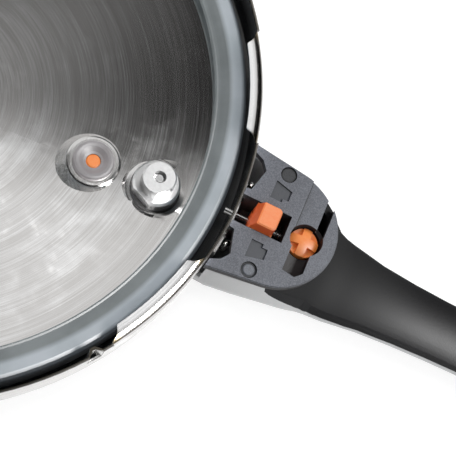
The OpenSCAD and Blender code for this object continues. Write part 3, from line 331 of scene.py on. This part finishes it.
# %% The lid's steel
LINES = dict(along=2.0, across=2600.0, detail=3.0, rough=0.6)
BROAD_LINES = dict(along=1.4, across=260.0, detail=2.0, rough=0.5)
HANDLING, HANDLING_RISE = dict(scale=38.0, detail=4.0, rough=0.6), (0.5, 0.75)
SCUFFED_PLACES, PLACES_RISE = dict(scale=24.0), (0.52, 0.62)
SCUFFS, SCUFFS_RISE = dict(scale=150.0, detail=6.0, rough=0.7), (0.5, 0.72)
LINES_TONE, BROAD_TONE, HANDLED_TONE, STEEL_TONE_RISE = 0.55, 0.3, 0.15, (0.3, 0.7)
LINES_BUMP, LINES_HEIGHT = 0.03, 0.2 * MM
STRETCH, STRETCH_TURN = 0.85, 0.25
STEEL_DARK, STEEL_LIGHT = rgb(194, 192, 190), rgb(228, 228, 228)
# The lugs' flat takes a painted highlight, their bend and the cut edge a painted shade; the lugs' ends are
# brownish.
LUG_PAINTED_HIGHLIGHT, BEND_PAINTED_SHADE = rgb(240, 240, 240), rgb(104, 99, 94)
LUG_END_BROWN, CUT_EDGE_PAINTED_SHADE = rgb(112, 100, 74), rgb(84, 80, 72)
BEND_SHADE_SHARE, BROWN_SHARE = 0.9, 0.75
STEEL_ROUGH, LINES_ROUGH, HANDLED_ROUGH, SCUFFED_ROUGH = 0.11, 0.1, 0.05, 0.07


def spun_steel():
    paint = Paint("spun steel")
    lines = ring_lines(paint, **LINES)
    broad = ring_lines(paint, **BROAD_LINES)
    handling = paint.noise(paint.place(), **HANDLING).step(*HANDLING_RISE)
    scuffed_places = paint.noise(paint.place(), **SCUFFED_PLACES).step(*PLACES_RISE)
    scuffs = paint.noise(paint.place(), **SCUFFS).step(*SCUFFS_RISE) * scuffed_places
    tone = (LINES_TONE * lines + BROAD_TONE * broad + HANDLED_TONE * handling).step(*STEEL_TONE_RISE)
    # Painted highlight on the lugs' flats, painted shade on their bends and along the cut edge.
    brown_end, edge_shade, bend_shade, lug = rim_marks(paint)
    colour = paint.mix(lug, paint.mix(tone, STEEL_DARK, STEEL_LIGHT), LUG_PAINTED_HIGHLIGHT)
    colour = paint.mix(bend_shade * BEND_SHADE_SHARE, colour, BEND_PAINTED_SHADE)
    colour = paint.mix(brown_end * BROWN_SHARE, colour, LUG_END_BROWN)
    colour = paint.mix(edge_shade, colour, CUT_EDGE_PAINTED_SHADE)
    return paint.finish(
        Base_Color=colour, Metallic=1.0, Anisotropic=STRETCH, Anisotropic_Rotation=STRETCH_TURN,
        Roughness=STEEL_ROUGH + LINES_ROUGH * lines + HANDLED_ROUGH * handling + SCUFFED_ROUGH * scuffs,
        Normal=paint.bump(lines, LINES_BUMP, LINES_HEIGHT, pressed_normal(paint)))


dress(spun_steel(), "lid_shell", "lid_bracket")

# %% [markdown]
# ## Turned and polished metal
# The valve is turned from brass bar and chromed, its nut is left satin, the pins are ground, and the springs
# are drawn wire. All four are one recipe: a plain metal with a faint haze in its tone and roughness. What
# tells them apart is how rough they are, and the wire is darker too.

# %% Valve, pins, screws and wire
HAZE = dict(scale=900.0, detail=3.0)
HAZE_ROUGH, HAZE_BUMP, HAZE_HEIGHT = 0.06, 0.04, 0.1 * MM


def turned_metal(name, low, high, rough):
    paint = Paint(name)
    haze = paint.noise(paint.place(), **HAZE)
    return paint.finish(
        Base_Color=paint.mix(haze, low, high), Metallic=1.0,
        Roughness=rough + HAZE_ROUGH * haze, Normal=paint.bump(haze, HAZE_BUMP, HAZE_HEIGHT))


POLISHED = turned_metal("polished brass, chromed", rgb(214, 214, 214), rgb(240, 240, 240), rough=0.1)
SATIN = turned_metal("satin chrome", rgb(222, 222, 222), rgb(244, 244, 244), rough=0.26)
GROUND = turned_metal("ground steel", rgb(200, 200, 200), rgb(232, 232, 232), rough=0.16)
WIRE = turned_metal("spring wire", rgb(120, 120, 122), rgb(160, 160, 160), rough=0.3)
dress(POLISHED, "valve_body", "valve_stem")
dress(SATIN, "valve_nut")
dress(GROUND, "release_pin", "guide_pin", "handle_screws")
dress(WIRE, "release_spring", "plunger_spring", "button_spring", "indicator_spring", "valve_spring")

# %% [markdown]
# ## Silicone
# The sealing ring, the indicator's grommet and the valve's seal are moulded silicone: dull, slightly cloudy,
# and smooth to the touch. The ring's inner lip, which lies on the pot's rim, is painted darker and greener
# as painted shade. Its outer half is pale and blue, and its shoulder by the wall is painted dark as painted
# shade. These bands follow the radius, so the radius picks the colour.

# %% Ring, grommet and seal
CLOUD, CLOUD_RISE = dict(scale=60.0, detail=4.0), (0.3, 0.7)
SKIN, SKIN_BUMP, SKIN_HEIGHT = dict(scale=1400.0), 0.08, 0.2 * MM
RUBBER_ROUGH, CLOUD_ROUGH = 0.42, 0.12
RING_IN, RING_OUT = 102.1 * MM, 113.6 * MM
LIP_ENDS = RING_IN + 4.4 * MM, RING_IN + 6.6 * MM
SHOULDER_BEGINS = RING_OUT - 2.2 * MM, RING_OUT - 0.8 * MM
# The lip's darker colours and the shoulder's colour are painted shade.
LIP_SHADED_COLOURS = rgb(104, 111, 113), rgb(122, 129, 131)
OUTER_COLOURS = rgb(156, 166, 173), rgb(172, 181, 189)
SHOULDER_SHADE = rgb(92, 99, 106)


def rubbery(paint, colour, cloud):
    """Silicone's dull surface, with a fine skin."""
    skin = paint.noise(paint.place(), **SKIN)
    return paint.finish(
        Base_Color=colour, Roughness=RUBBER_ROUGH + CLOUD_ROUGH * cloud,
        Normal=paint.bump(skin, SKIN_BUMP, SKIN_HEIGHT))


def silicone(name, low, high):
    paint = Paint(name)
    cloud = paint.noise(paint.place(), **CLOUD)
    return rubbery(paint, paint.mix(cloud.step(*CLOUD_RISE), low, high), cloud)


def ring_silicone():
    paint = Paint("blue-grey silicone")
    radius = from_axis(paint)
    cloud = paint.noise(paint.place(), **CLOUD)
    tone = cloud.step(*CLOUD_RISE)
    # Painted shade on the inner lip and on the shoulder by the wall.
    body = paint.mix(radius.step(*LIP_ENDS), paint.mix(tone, *LIP_SHADED_COLOURS), paint.mix(tone, *OUTER_COLOURS))
    return rubbery(paint, paint.mix(radius.step(*SHOULDER_BEGINS), body, SHOULDER_SHADE), cloud)


dress(ring_silicone(), "sealing_ring")
dress(silicone("grey silicone", rgb(138, 134, 136), rgb(156, 152, 154)), "indicator_grommet")
dress(silicone("dark grey silicone", rgb(70, 70, 72), rgb(86, 86, 88)), "valve_seal")

# %% [markdown]
# ## Moulded plastics
# A moulded piece carries the grain of its mould: deep on the base plate, shallow on the button and the
# grip, and almost none on the orange pieces. An image of such grain would do; a fine noise gives the bump
# and a slight change of tone at any size, and a slow cloud keeps large faces from looking even.

# %% Grain, and three plain plastics
PLATE_GRAIN, BUTTON_GRAIN, ORANGE_GRAIN = 2600.0, 1800.0, 900.0
PLATE_BUMP, COVER_BUMP, BUTTON_BUMP, ORANGE_BUMP = 0.35, 0.3, 0.12, 0.03
GRAIN_DETAIL, GRAIN_MIX, GRAIN_HEIGHT = 2.0, 0.7, 0.3 * MM
PLASTIC_CLOUD = dict(scale=45.0, detail=3.0)
GRAIN_SHARE, CLOUD_SHARE, TONE_RISE = 0.75, 0.25, (0.35, 0.65)
PLATE_ROUGH, GRAIN_ROUGH, PLASTIC_GLOSS = 0.52, 0.1, 0.25
DARK_COLOURS = rgb(38, 40, 44), rgb(52, 54, 59)
BUTTON_COLOURS = rgb(17, 18, 21), rgb(24, 25, 29)
DEEP_ORANGES = rgb(255, 140, 60), rgb(255, 150, 74)


def grain(paint, scale):
    """The mould's grain, with this many cells to a metre."""
    return paint.noise(paint.place(), scale, GRAIN_DETAIL, GRAIN_MIX)


def clouded(paint, cells):
    """The tone of a large face: mostly grain, with a slow cloud in it."""
    cloud = paint.noise(paint.place(), **PLASTIC_CLOUD)
    return (GRAIN_SHARE * cells + CLOUD_SHARE * cloud).step(*TONE_RISE)


def moulded(name, low, high, scale, depth, rough):
    paint = Paint(name)
    cells = grain(paint, scale)
    return paint.finish(
        Base_Color=paint.mix(clouded(paint, cells), low, high), Roughness=rough + GRAIN_ROUGH * cells,
        Specular_IOR_Level=PLASTIC_GLOSS, Normal=paint.bump(cells, depth, GRAIN_HEIGHT))


dress(moulded("dark plastic", *DARK_COLOURS, PLATE_GRAIN, COVER_BUMP, rough=0.5), "button_link")
dress(moulded("black button plastic", *BUTTON_COLOURS, BUTTON_GRAIN, BUTTON_BUMP, rough=0.4),
      "opening_button")
dress(moulded("deep orange plastic", *DEEP_ORANGES, ORANGE_GRAIN, ORANGE_BUMP, rough=0.45),
      "lock_plunger", "indicator_pin")

# %% [markdown]
# ## The base plate
# The plate is one grey moulding with channels, wells and shallow recesses in it. Its faces are grained.
# Its sides and the floors of its wells are painted nearly black and its recesses darker, as painted shade,
# and a thin dark line is painted at the foot of the plate's step on one side as a painted shadow. A material
# for each of these faces would do, but they are many and small. So height picks the recesses and the wells,
# and the surface's direction picks the sides.

# %% Plate
PLATE_Z, STEP_X = 30.6 * MM, 139.0 * MM
RECESS_FLOOR = PLATE_Z - 0.8 * MM, PLATE_Z - 0.75 * MM
RECESS_RIM = PLATE_Z - 0.66 * MM, PLATE_Z - 0.6 * MM
WELL_Z = PLATE_Z - 3.2 * MM, PLATE_Z - 1.6 * MM
SIDE_TILT = 0.35, 0.8
FOOT_BEGINS = STEP_X - 0.01 * MM, STEP_X
FOOT_ENDS = STEP_X + 0.35 * MM, STEP_X + 0.6 * MM
FOOT_Y = 3.0 * MM, 3.1 * MM
FOOT_TOP = PLATE_Z - 1.2 * MM, PLATE_Z - 1.1 * MM
PLATE_COLOURS = rgb(76, 79, 88), rgb(108, 112, 122)
# Painted shade for the recesses, the sides and the wells; the step's foot takes the sides' colour as a
# painted shadow.
RECESS_SHADE, SIDE_SHADE, WELL_SHADE = rgb(62, 66, 74), rgb(26, 28, 32), rgb(42, 35, 35)


def plate_plastic():
    paint = Paint("grained plate plastic")
    x, y, z = paint.split(paint.place())
    cells = grain(paint, PLATE_GRAIN)
    # Masks for the painted shade and for the painted shadow at the step's foot.
    recess = z.step(*RECESS_FLOOR) * (1 - z.step(*RECESS_RIM))
    shaded_side = 1 - paint.split(paint.facing())[2].step(*SIDE_TILT)
    foot_shadow = x.step(*FOOT_BEGINS) * (1 - x.step(*FOOT_ENDS)) * y.step(*FOOT_Y) * (1 - z.step(*FOOT_TOP))
    face = paint.mix(clouded(paint, cells), *PLATE_COLOURS)
    face = paint.mix(recess, face, RECESS_SHADE)
    face = paint.mix(shaded_side.math("MAXIMUM", foot_shadow), face, SIDE_SHADE)
    return paint.finish(
        Base_Color=paint.mix(1 - z.step(*WELL_Z), face, WELL_SHADE),
        Roughness=PLATE_ROUGH + GRAIN_ROUGH * cells, Specular_IOR_Level=PLASTIC_GLOSS,
        Normal=paint.bump(cells, PLATE_BUMP, GRAIN_HEIGHT))


dress(plate_plastic(), "base_plate")

# %% [markdown]
# ## Screw covers
# Two press-in covers hide the handle's screws. Each is a grained disc with a chamfer that catches less
# light, and that shade is painted on it as a dark ring: painted shade. The ring could be its own piece, but
# the cover is one moulding, so it is drawn by the distance from the disc's middle, which is measured on the
# cover itself. The recessed cover is also the darker one.

# %% Covers
CHAMFER_BEGINS, CHAMFER_FULL = 0.75 * MM, 0.6 * MM
COVER_GLOSS = 0.2


def cover_plastic(node, low, high, chamfer_shade):
    """A grained disc with painted shade on the chamfer round it."""
    paint = Paint(node.replace("_", " "))
    x, y, _ = paint.split(paint.place())
    least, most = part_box(node)
    middle = (Vector(least) + Vector(most)) / 2
    reach = (most[1] - least[1]) / 2
    off_x, off_y = x - middle.x, y - middle.y
    away = (off_x * off_x + off_y * off_y) ** 0.5
    chamfer = away.step(reach - CHAMFER_BEGINS, reach - CHAMFER_FULL)
    cells = grain(paint, PLATE_GRAIN)
    return paint.finish(
        Base_Color=paint.mix(chamfer, paint.mix(cells.step(*TONE_RISE), low, high), chamfer_shade),
        Roughness=PLATE_ROUGH + GRAIN_ROUGH * cells, Specular_IOR_Level=COVER_GLOSS,
        Normal=paint.bump(cells, COVER_BUMP, GRAIN_HEIGHT))


# Each cover's last colour is the painted shade on its chamfer.
dress(cover_plastic("screw_cover_flush", rgb(98, 102, 109), rgb(118, 122, 130), chamfer_shade=rgb(44, 47, 53)),
      "screw_cover_flush")
dress(cover_plastic("screw_cover_recessed", *DARK_COLOURS, chamfer_shade=rgb(26, 28, 31)), "screw_cover_recessed")

# %% [markdown]
# ## The orange block
# The release block slides in a black channel. Its top is bright, and its sides look much deeper. The
# channel's shade does part of that. A second material on the sides would end in a hard line, so the rest
# is painted shade: a deeper orange that comes in where the surface turns sideways.

# %% Release block
BLOCK_COLOURS = rgb(255, 143, 82), rgb(255, 151, 92)
BLOCK_SIDE_SHADE, BLOCK_TILT, BLOCK_ROUGH = rgb(204, 86, 36), (0.3, 0.75), 0.42


def block_plastic():
    paint = Paint("orange plastic")
    cells = grain(paint, ORANGE_GRAIN)
    shaded_side = 1 - paint.split(paint.facing())[2].step(*BLOCK_TILT)
    body = paint.mix(cells.step(*TONE_RISE), *BLOCK_COLOURS)
    return paint.finish(
        # Painted shade on the sides.
        Base_Color=paint.mix(shaded_side, body, BLOCK_SIDE_SHADE), Roughness=BLOCK_ROUGH + GRAIN_ROUGH * cells,
        Specular_IOR_Level=PLASTIC_GLOSS, Normal=paint.bump(cells, ORANGE_BUMP, GRAIN_HEIGHT))


dress(block_plastic(), "release_block")

# %% [markdown]
# ## The grip
# The grip is satin black, and the real one is crowned on its upper side. The packed grip is lofted through
# a few sections and is flatter, so a highlight would lie on it as on a board. Its mesh stays, but its
# shading direction is led round a line 11 mm below the table, which gives a gentle crown. At the neck
# the direction also leans along the handle, and the surface is duller, which keeps the neck dark.

# %% Grip
CROWN_LINE_DEPTH, CROWN_SHARE = 11 * MM, 0.92
UPPER_SIDE = 0.1, 0.45
FALL_ENDS, FALL_FAR, FALL_NECK = (148 * MM, 168 * MM), 0.07, 0.9
NECK_ENDS, NECK_ROUGH = (156 * MM, 202 * MM), 0.3
GRIP_COLOURS = rgb(8, 8, 11), rgb(14, 14, 18)
GRIP_ROUGH, GRIP_GRAIN_ROUGH, GRIP_GLOSS = 0.4, 0.08, 0.13


def crowned(paint):
    """The direction of a rounded upper side, in place of the flatter one that the mesh has."""
    x, y, z = paint.split(paint.place())
    own = paint.facing()
    over_line = z + CROWN_LINE_DEPTH
    fall = FALL_FAR + FALL_NECK * (1 - x.step(*FALL_ENDS))
    crown = paint.unit(paint.join(fall * over_line, y, over_line))
    upper = paint.split(own)[2].step(*UPPER_SIDE)
    return paint.lean(CROWN_SHARE * upper, own, crown)


def grip_plastic():
    paint = Paint("black grip plastic")
    cells = grain(paint, BUTTON_GRAIN)
    neck = 1 - paint.split(paint.place())[0].step(*NECK_ENDS)
    return paint.finish(
        Base_Color=paint.mix(clouded(paint, cells), *GRIP_COLOURS),
        Roughness=GRIP_ROUGH + GRIP_GRAIN_ROUGH * cells + NECK_ROUGH * neck,
        Specular_IOR_Level=GRIP_GLOSS, Normal=paint.bump(cells, BUTTON_BUMP, GRAIN_HEIGHT, crowned(paint)))


dress(grip_plastic(), "handle_grip")

# %% [markdown]
# ## Silver lacquer
# The cover on the handle's outer side is plastic under silver lacquer: metal flakes in a clear coat. It is
# neither a metal nor a plain paint, so it is a part-metal with a fine flake in its tone and a thin coat.
# Next to the lid it stands in the lid's shade, and that shade is painted into its colour as a greyer tone.

# %% Lacquer on the cover
SHADE_ENDS = 108 * MM, 150 * MM
SHADED_COLOURS = rgb(134, 135, 136), rgb(156, 157, 158)
SILVER_COLOURS = rgb(178, 179, 180), rgb(206, 207, 208)
FLAKE = dict(scale=5200.0, detail=1.0)
PART_METAL, LACQUER_ROUGH, FLAKE_ROUGH, CLEAR_COAT = 0.35, 0.34, 0.08, 0.25


def lacquer():
    paint = Paint("silver lacquer")
    flake = paint.noise(paint.place(), **FLAKE)
    # Painted shade: greyer next to the lid.
    along = paint.split(paint.place())[0].step(*SHADE_ENDS)
    return paint.finish(
        Base_Color=paint.mix(along, paint.mix(flake, *SHADED_COLOURS), paint.mix(flake, *SILVER_COLOURS)),
        Metallic=PART_METAL, Roughness=LACQUER_ROUGH + FLAKE_ROUGH * flake, Coat_Weight=CLEAR_COAT)


dress(lacquer(), "handle_cover")

# %% [markdown]
# ## Coil springs
# Five compression springs push the pieces back: each is round wire, wound with its end turns closed so
# that it stands flat on its seat. A screw modifier gives an even pitch only, so a node group winds them.
# A flat spiral is lifted by a height that grows slowly in the end turns and evenly between them, and a
# round wire follows it. The sizes are named inputs, so one group serves all five.

# %% The node group that winds a spring
SIZES = "Coil Radius", "Wire Radius", "Length", "Turns", "End Share"
STEPS_PER_TURN, WIRE_SIDES = 24, 10


def spring_group():
    group = bpy.data.node_groups.new("coil spring", "GeometryNodeTree")
    group.interface.new_socket("Geometry", in_out="OUTPUT", socket_type="NodeSocketGeometry")
    for name in SIZES:
        group.interface.new_socket(name, in_out="INPUT", socket_type="NodeSocketFloat")
    group.interface.new_socket("Finish", in_out="INPUT", socket_type="NodeSocketMaterial")
    tree = Tree(group)
    asked = tree.node("NodeGroupInput", {}, {})
    radius, wire, length, turns, end, finish = tree.outputs(asked, (*SIZES, "Finish"))
    spiral = tree.node("GeometryNodeCurveSpiral", {}, {
        "Resolution": STEPS_PER_TURN, "Rotations": turns, "Start Radius": radius, "End Radius": radius,
        "Height": 0.0})
    along = tree.node("GeometryNodeSplineParameter", {}, {})
    closed_pitch = 2 * wire
    first_turn = (along / end).clamp()
    last_turn = ((along - 1 + end) / end).clamp()
    between = ((along - end) / (1 - 2 * end)).clamp()
    height = wire + closed_pitch * (first_turn + last_turn) + (length - 3 * closed_pitch) * between
    lifted = tree.node("GeometryNodeSetPosition", {}, {
        "Geometry": spiral, "Offset": tree.join(0.0, 0.0, height)})
    profile = tree.node("GeometryNodeCurvePrimitiveCircle", {}, {"Resolution": WIRE_SIDES, "Radius": wire})
    wound = tree.node("GeometryNodeCurveToMesh", {}, {
        "Curve": lifted, "Profile Curve": profile, "Fill Caps": True})
    one = tree.node("GeometryNodeRealizeInstances", {}, {"Geometry": wound})
    dressed = tree.node("GeometryNodeSetMaterial", {}, {"Geometry": one, "Material": finish})
    tree.node("NodeGroupOutput", {}, [dressed])
    return group


SPRING_GROUP = spring_group()
print(SPRING_GROUP.name, "has", len(SPRING_GROUP.nodes), "nodes")

# %% [markdown]
# ## From the group to a plain mesh
# The group runs as a modifier on an empty seed object. Its inputs are set by identifier, because names
# may repeat. The result is then copied to a plain mesh, and modifier and seed are removed.

# %% A wound mesh
def add_object(name, data):
    """A new object for this mesh, lamp or camera, in the scene."""
    made = bpy.data.objects.new(name, data)
    bpy.context.scene.collection.objects.link(made)
    return made


def wound_mesh(name, values):
    seed = add_object(name + " seed", bpy.data.meshes.new(name + " seed"))
    modifier = seed.modifiers.new("wind", "NODES")
    modifier.node_group = SPRING_GROUP
    for item in SPRING_GROUP.interface.items_tree:
        if item.in_out == "INPUT":
            modifier[item.identifier] = values[item.name]
    ready = seed.evaluated_get(bpy.context.evaluated_depsgraph_get())
    mesh = bpy.data.meshes.new_from_object(ready)
    seed.modifiers.remove(modifier)
    bpy.data.objects.remove(seed)
    mesh.shade_smooth()
    return mesh


print("a spring's inputs:", ", ".join((*SIZES, "Finish")))

# %% [markdown]
# ## Five springs in their seats
# Each spring takes its length, thickness and place from the box of the solid that it stands for. It rides
# on the lid. The end that stays seated is found, the outer end for the two that lie along the handle and
# the lower end for the three that stand upright, but the spring is not shortened: its length after its
# joint's travel is only printed.

# %% The springs
X, Z = 0, 2


def wind(node, axis, wire, turns, end_turns, travel):
    """Winds the spring that stands for a solid of the packed model, in that solid's own box."""
    least, most = (Vector(v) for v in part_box(node))
    length = most[axis] - least[axis]
    coil_radius = (most[1] - least[1]) / 2 - wire
    mesh = wound_mesh(node, {
        "Coil Radius": coil_radius, "Wire Radius": wire, "Length": length, "Turns": turns,
        "End Share": end_turns / turns, "Finish": WIRE})
    start = (least + most) / 2
    start[axis] = least[axis]
    turned = Matrix.Rotation(math.pi / 2, 4, "Y") if axis == X else Matrix.Identity(4)
    mesh.transform(Matrix.Translation(start) @ turned)
    spring = add_object(node + "_wound", mesh)
    fixed = start.copy()
    fixed[axis] = most[axis] if axis == X else least[axis]
    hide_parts(node)
    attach(spring, "lid")
    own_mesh(spring)
    print(spring.name, len(mesh.polygons), "faces, length", round(length / MM, 2), "mm, to",
          round((length - travel) / MM, 2), "mm")


wind("release_spring", X, wire=0.25 * MM, turns=5, end_turns=0.8, travel=3.6 * MM)
wind("plunger_spring", Z, wire=0.3 * MM, turns=4, end_turns=0.8, travel=3.0 * MM)
wind("button_spring", X, wire=0.3 * MM, turns=8, end_turns=1.0, travel=6.0 * MM)
wind("indicator_spring", Z, wire=0.3 * MM, turns=2, end_turns=0.3, travel=4.0 * MM)
wind("valve_spring", Z, wire=0.3 * MM, turns=5, end_turns=0.8, travel=1.5 * MM)

# %% [markdown]
# ## The table
# The part lies on a white table that runs on past the picture. Stronger lamps would make it white, but
# they would bleach the part too. So the table glows a little, though only for rays that look at it: those
# of the camera, of mirrors and of glass. For the light that it throws back at the part it is plain white.

# %% Table
FLOOR_HALF, FLOOR_DROP = 4.0, 0.3 * MM
SEEN_MATT, GLOW, PLAIN_WHITE = 0.42, 0.76, 0.8


def grey(level):
    return (level, level, level, 1)


def flat_mesh(name, corners):
    mesh = bpy.data.meshes.new(name)
    mesh.from_pydata(corners, [], [list(range(len(corners)))])
    return add_object(name, mesh)


def seen_by_eye(tree):
    """1 for rays of the camera, of mirrors and of glass, 0 for the rays that light other things."""
    rays = tree.node("ShaderNodeLightPath", {}, {})
    camera, mirror, glass = tree.outputs(rays, ("Is Camera Ray", "Is Glossy Ray", "Is Transmission Ray"))
    return (camera + mirror + glass).clamp()


def table_white():
    paint = Paint("white table")
    matt = paint.node("ShaderNodeBsdfDiffuse", {}, {"Color": grey(SEEN_MATT)})
    glow = paint.node("ShaderNodeEmission", {}, {"Color": grey(1), "Strength": GLOW})
    plain = paint.node("ShaderNodeBsdfDiffuse", {}, {"Color": grey(PLAIN_WHITE)})
    lit = paint.node("ShaderNodeAddShader", {}, [matt, glow])
    shown = paint.node("ShaderNodeMixShader", {}, [seen_by_eye(paint), plain, lit])
    paint.node("ShaderNodeOutputMaterial", {}, [shown])
    return paint.material


floor = flat_mesh("table", [(-FLOOR_HALF, -FLOOR_HALF, 0), (FLOOR_HALF, -FLOOR_HALF, 0),
                            (FLOOR_HALF, FLOOR_HALF, 0), (-FLOOR_HALF, FLOOR_HALF, 0)])
floor.data.transform(Matrix.Translation((0, 0, -FLOOR_DROP)))
floor.data.materials.append(table_white())
floor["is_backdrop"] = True
print(floor.name, round(2 * FLOOR_HALF, 1), "m wide")

# %% [markdown]
# ## Two lamps
# A wide soft lamp behind the part throws a faint shadow in front of it. It is left out of mirrors, where
# it would be a white bar across the steel. A smaller lamp over the handle is the other way round: it gives
# no matt light and only shows in glossy surfaces, as the long soft highlight on the grip.

# %% Lamps
MIDDLE = (0.1, 0.0, 0.02)


def lamp(name, place, size, power):
    """A rectangular soft lamp that looks at the middle of the part."""
    data = bpy.data.lights.new(name, "AREA")
    data.shape = "RECTANGLE"
    data.size, data.size_y = size
    data.energy = power
    made = add_object(name, data)
    made.location = place
    made.rotation_euler = (Vector(MIDDLE) - Vector(place)).to_track_quat("-Z", "Y").to_euler()
    print(name, power, "W at", place)
    return made


behind = lamp("wide lamp behind", (0.0, 1.05, 1.2), size=(2.6, 1.3), power=15.5)
behind.visible_glossy = False
over_handle = lamp("lamp over the handle", (1.05, -0.1, 1.25), size=(0.8, 0.35), power=125.0)
over_handle.visible_diffuse = False

# %% [markdown]
# ## Cards that only steel sees
# Polished steel shows whatever stands round it, so in a white room it looks white. In a studio a black card
# is held over such a piece to draw its form. One card hangs over the part here: black on the camera's
# side, white at the back, and black again past the handle. A second one closes the side beyond the
# handle. Both are hidden from the camera, cast no shadow and dim no matt surface.

# %% Card over the part
CARD_Z, CARD_X, CARD_Y = 1.3, (-2.4, 1.8), (-1.2, 2.6)
BLACK = 0.01
NEAR_GREY_RISE, NEAR_GREY = (0.0, 0.25), 0.26
NEAR_WHITE_RISE, NEAR_WHITE = (0.42, 0.64), 0.73
FAR_RISE = 0.5, 0.76
FAR_TO_NEAR = -0.7, -0.38
PAST_HANDLE, DARKENING = (0.34, 0.52), 0.99


def only_mirrored(made):
    """A card that polished pieces show, and that neither shades nor dims the others."""
    made.visible_camera = False
    made.visible_shadow = False
    made.visible_diffuse = False
    made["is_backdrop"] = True
    print(made.name, "is seen in mirrors only")


def graded_card():
    """Far from the handle one rise from black to white; over the lid two rises; black past the handle."""
    paint = Paint("card from black to white")
    along, across, _ = paint.split(paint.place())
    near = BLACK + NEAR_GREY * across.step(*NEAR_GREY_RISE) + NEAR_WHITE * across.step(*NEAR_WHITE_RISE)
    near = paint.join(near, near, near)
    far = paint.mix(across.step(*FAR_RISE), grey(BLACK), grey(1))
    colour = paint.mix(along.step(*FAR_TO_NEAR), far, near)
    dimmed = paint.node("ShaderNodeVectorMath", {"operation": "SCALE"}, {
        "Vector": colour, "Scale": 1 - DARKENING * along.step(*PAST_HANDLE)})
    glow = paint.node("ShaderNodeEmission", {}, {"Color": dimmed, "Strength": 1.0})
    paint.node("ShaderNodeOutputMaterial", {}, [glow])
    return paint.material


card = flat_mesh("dark card", [(CARD_X[0], CARD_Y[0], CARD_Z), (CARD_X[1], CARD_Y[0], CARD_Z),
                               (CARD_X[1], CARD_Y[1], CARD_Z), (CARD_X[0], CARD_Y[1], CARD_Z)])
card.data.materials.append(graded_card())
only_mirrored(card)

# %% [markdown]
# ## A card at the handle's end
# The first card hangs high, so steel that faces along the handle would look out under its edge into the
# white room. A plain black card on end closes that gap. Grading it would make no difference to see.

# %% Card beyond the handle
def black_card():
    paint = Paint("black card")
    black = paint.node("ShaderNodeBsdfDiffuse", {}, {"Color": grey(BLACK)})
    paint.node("ShaderNodeOutputMaterial", {}, [black])
    return paint.material


end_card = flat_mesh("black card beyond the handle", [
    (CARD_X[1], CARD_Y[0], 0.0), (CARD_X[1], CARD_Y[1], 0.0),
    (CARD_X[1], CARD_Y[1], CARD_Z), (CARD_X[1], CARD_Y[0], CARD_Z)])
end_card.data.materials.append(black_card())
only_mirrored(end_card)

# %% [markdown]
# ## The white room
# Everything else that the part sees is the world: plain white for the camera and for mirrors, and weaker
# for the light that it gives, so that pale surfaces keep their tone.

# %% World
WORLD_LIGHT, WORLD_SEEN = 0.6, 1.0


def white_room():
    world = bpy.data.worlds.new("white room")
    world.use_nodes = True
    world.node_tree.nodes.clear()
    tree = Tree(world.node_tree)
    strength = WORLD_LIGHT + (WORLD_SEEN - WORLD_LIGHT) * seen_by_eye(tree)
    sky = tree.node("ShaderNodeBackground", {}, {"Color": grey(1), "Strength": strength})
    tree.node("ShaderNodeOutputWorld", {}, [sky])
    return world


bpy.context.scene.world = white_room()
print(bpy.context.scene.world.name, "lights at", WORLD_LIGHT, "and looks", WORLD_SEEN)

# %% [markdown]
# ## Camera
# The camera stands low over the edge of the lid and looks down at the lock, with the handle running out
# to the right. Its place and turn are given as a point and three directions, which are the columns of its
# matrix, because three angles would mean nothing without their order.

# %% Camera
LENS, SENSOR_WIDTH, NEAREST = 99.5, 36.0, 0.01
CAMERA_PLACE = Vector((0.08297, -0.16599, 0.42309))
RIGHT = Vector((0.8980, 0.3748, 0.2305))
UP = Vector((-0.4322, 0.8498, 0.3019))
BACK = Vector((-0.0828, -0.3707, 0.9251))

camera_data = bpy.data.cameras.new("camera")
camera_data.lens = LENS
camera_data.sensor_width = SENSOR_WIDTH
camera_data.clip_start = NEAREST
camera = add_object("camera", camera_data)
turn = Matrix((RIGHT, UP, BACK)).transposed().to_4x4()
camera.matrix_world = Matrix.Translation(CAMERA_PLACE) @ turn
bpy.context.scene.camera = camera
bpy.context.scene.view_settings.view_transform = "Standard"
print("camera at", tuple(round(v, 3) for v in camera.location), "lens", LENS, "mm")

# %% [markdown]
# ## Measure
# The finish must not change the object's size. The finished model's box is printed.

# %% Measure
SHOWN_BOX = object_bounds()
print("finished size in mm:", [round(v / MM, 1) for v in SHOWN_BOX[1] - SHOWN_BOX[0]])
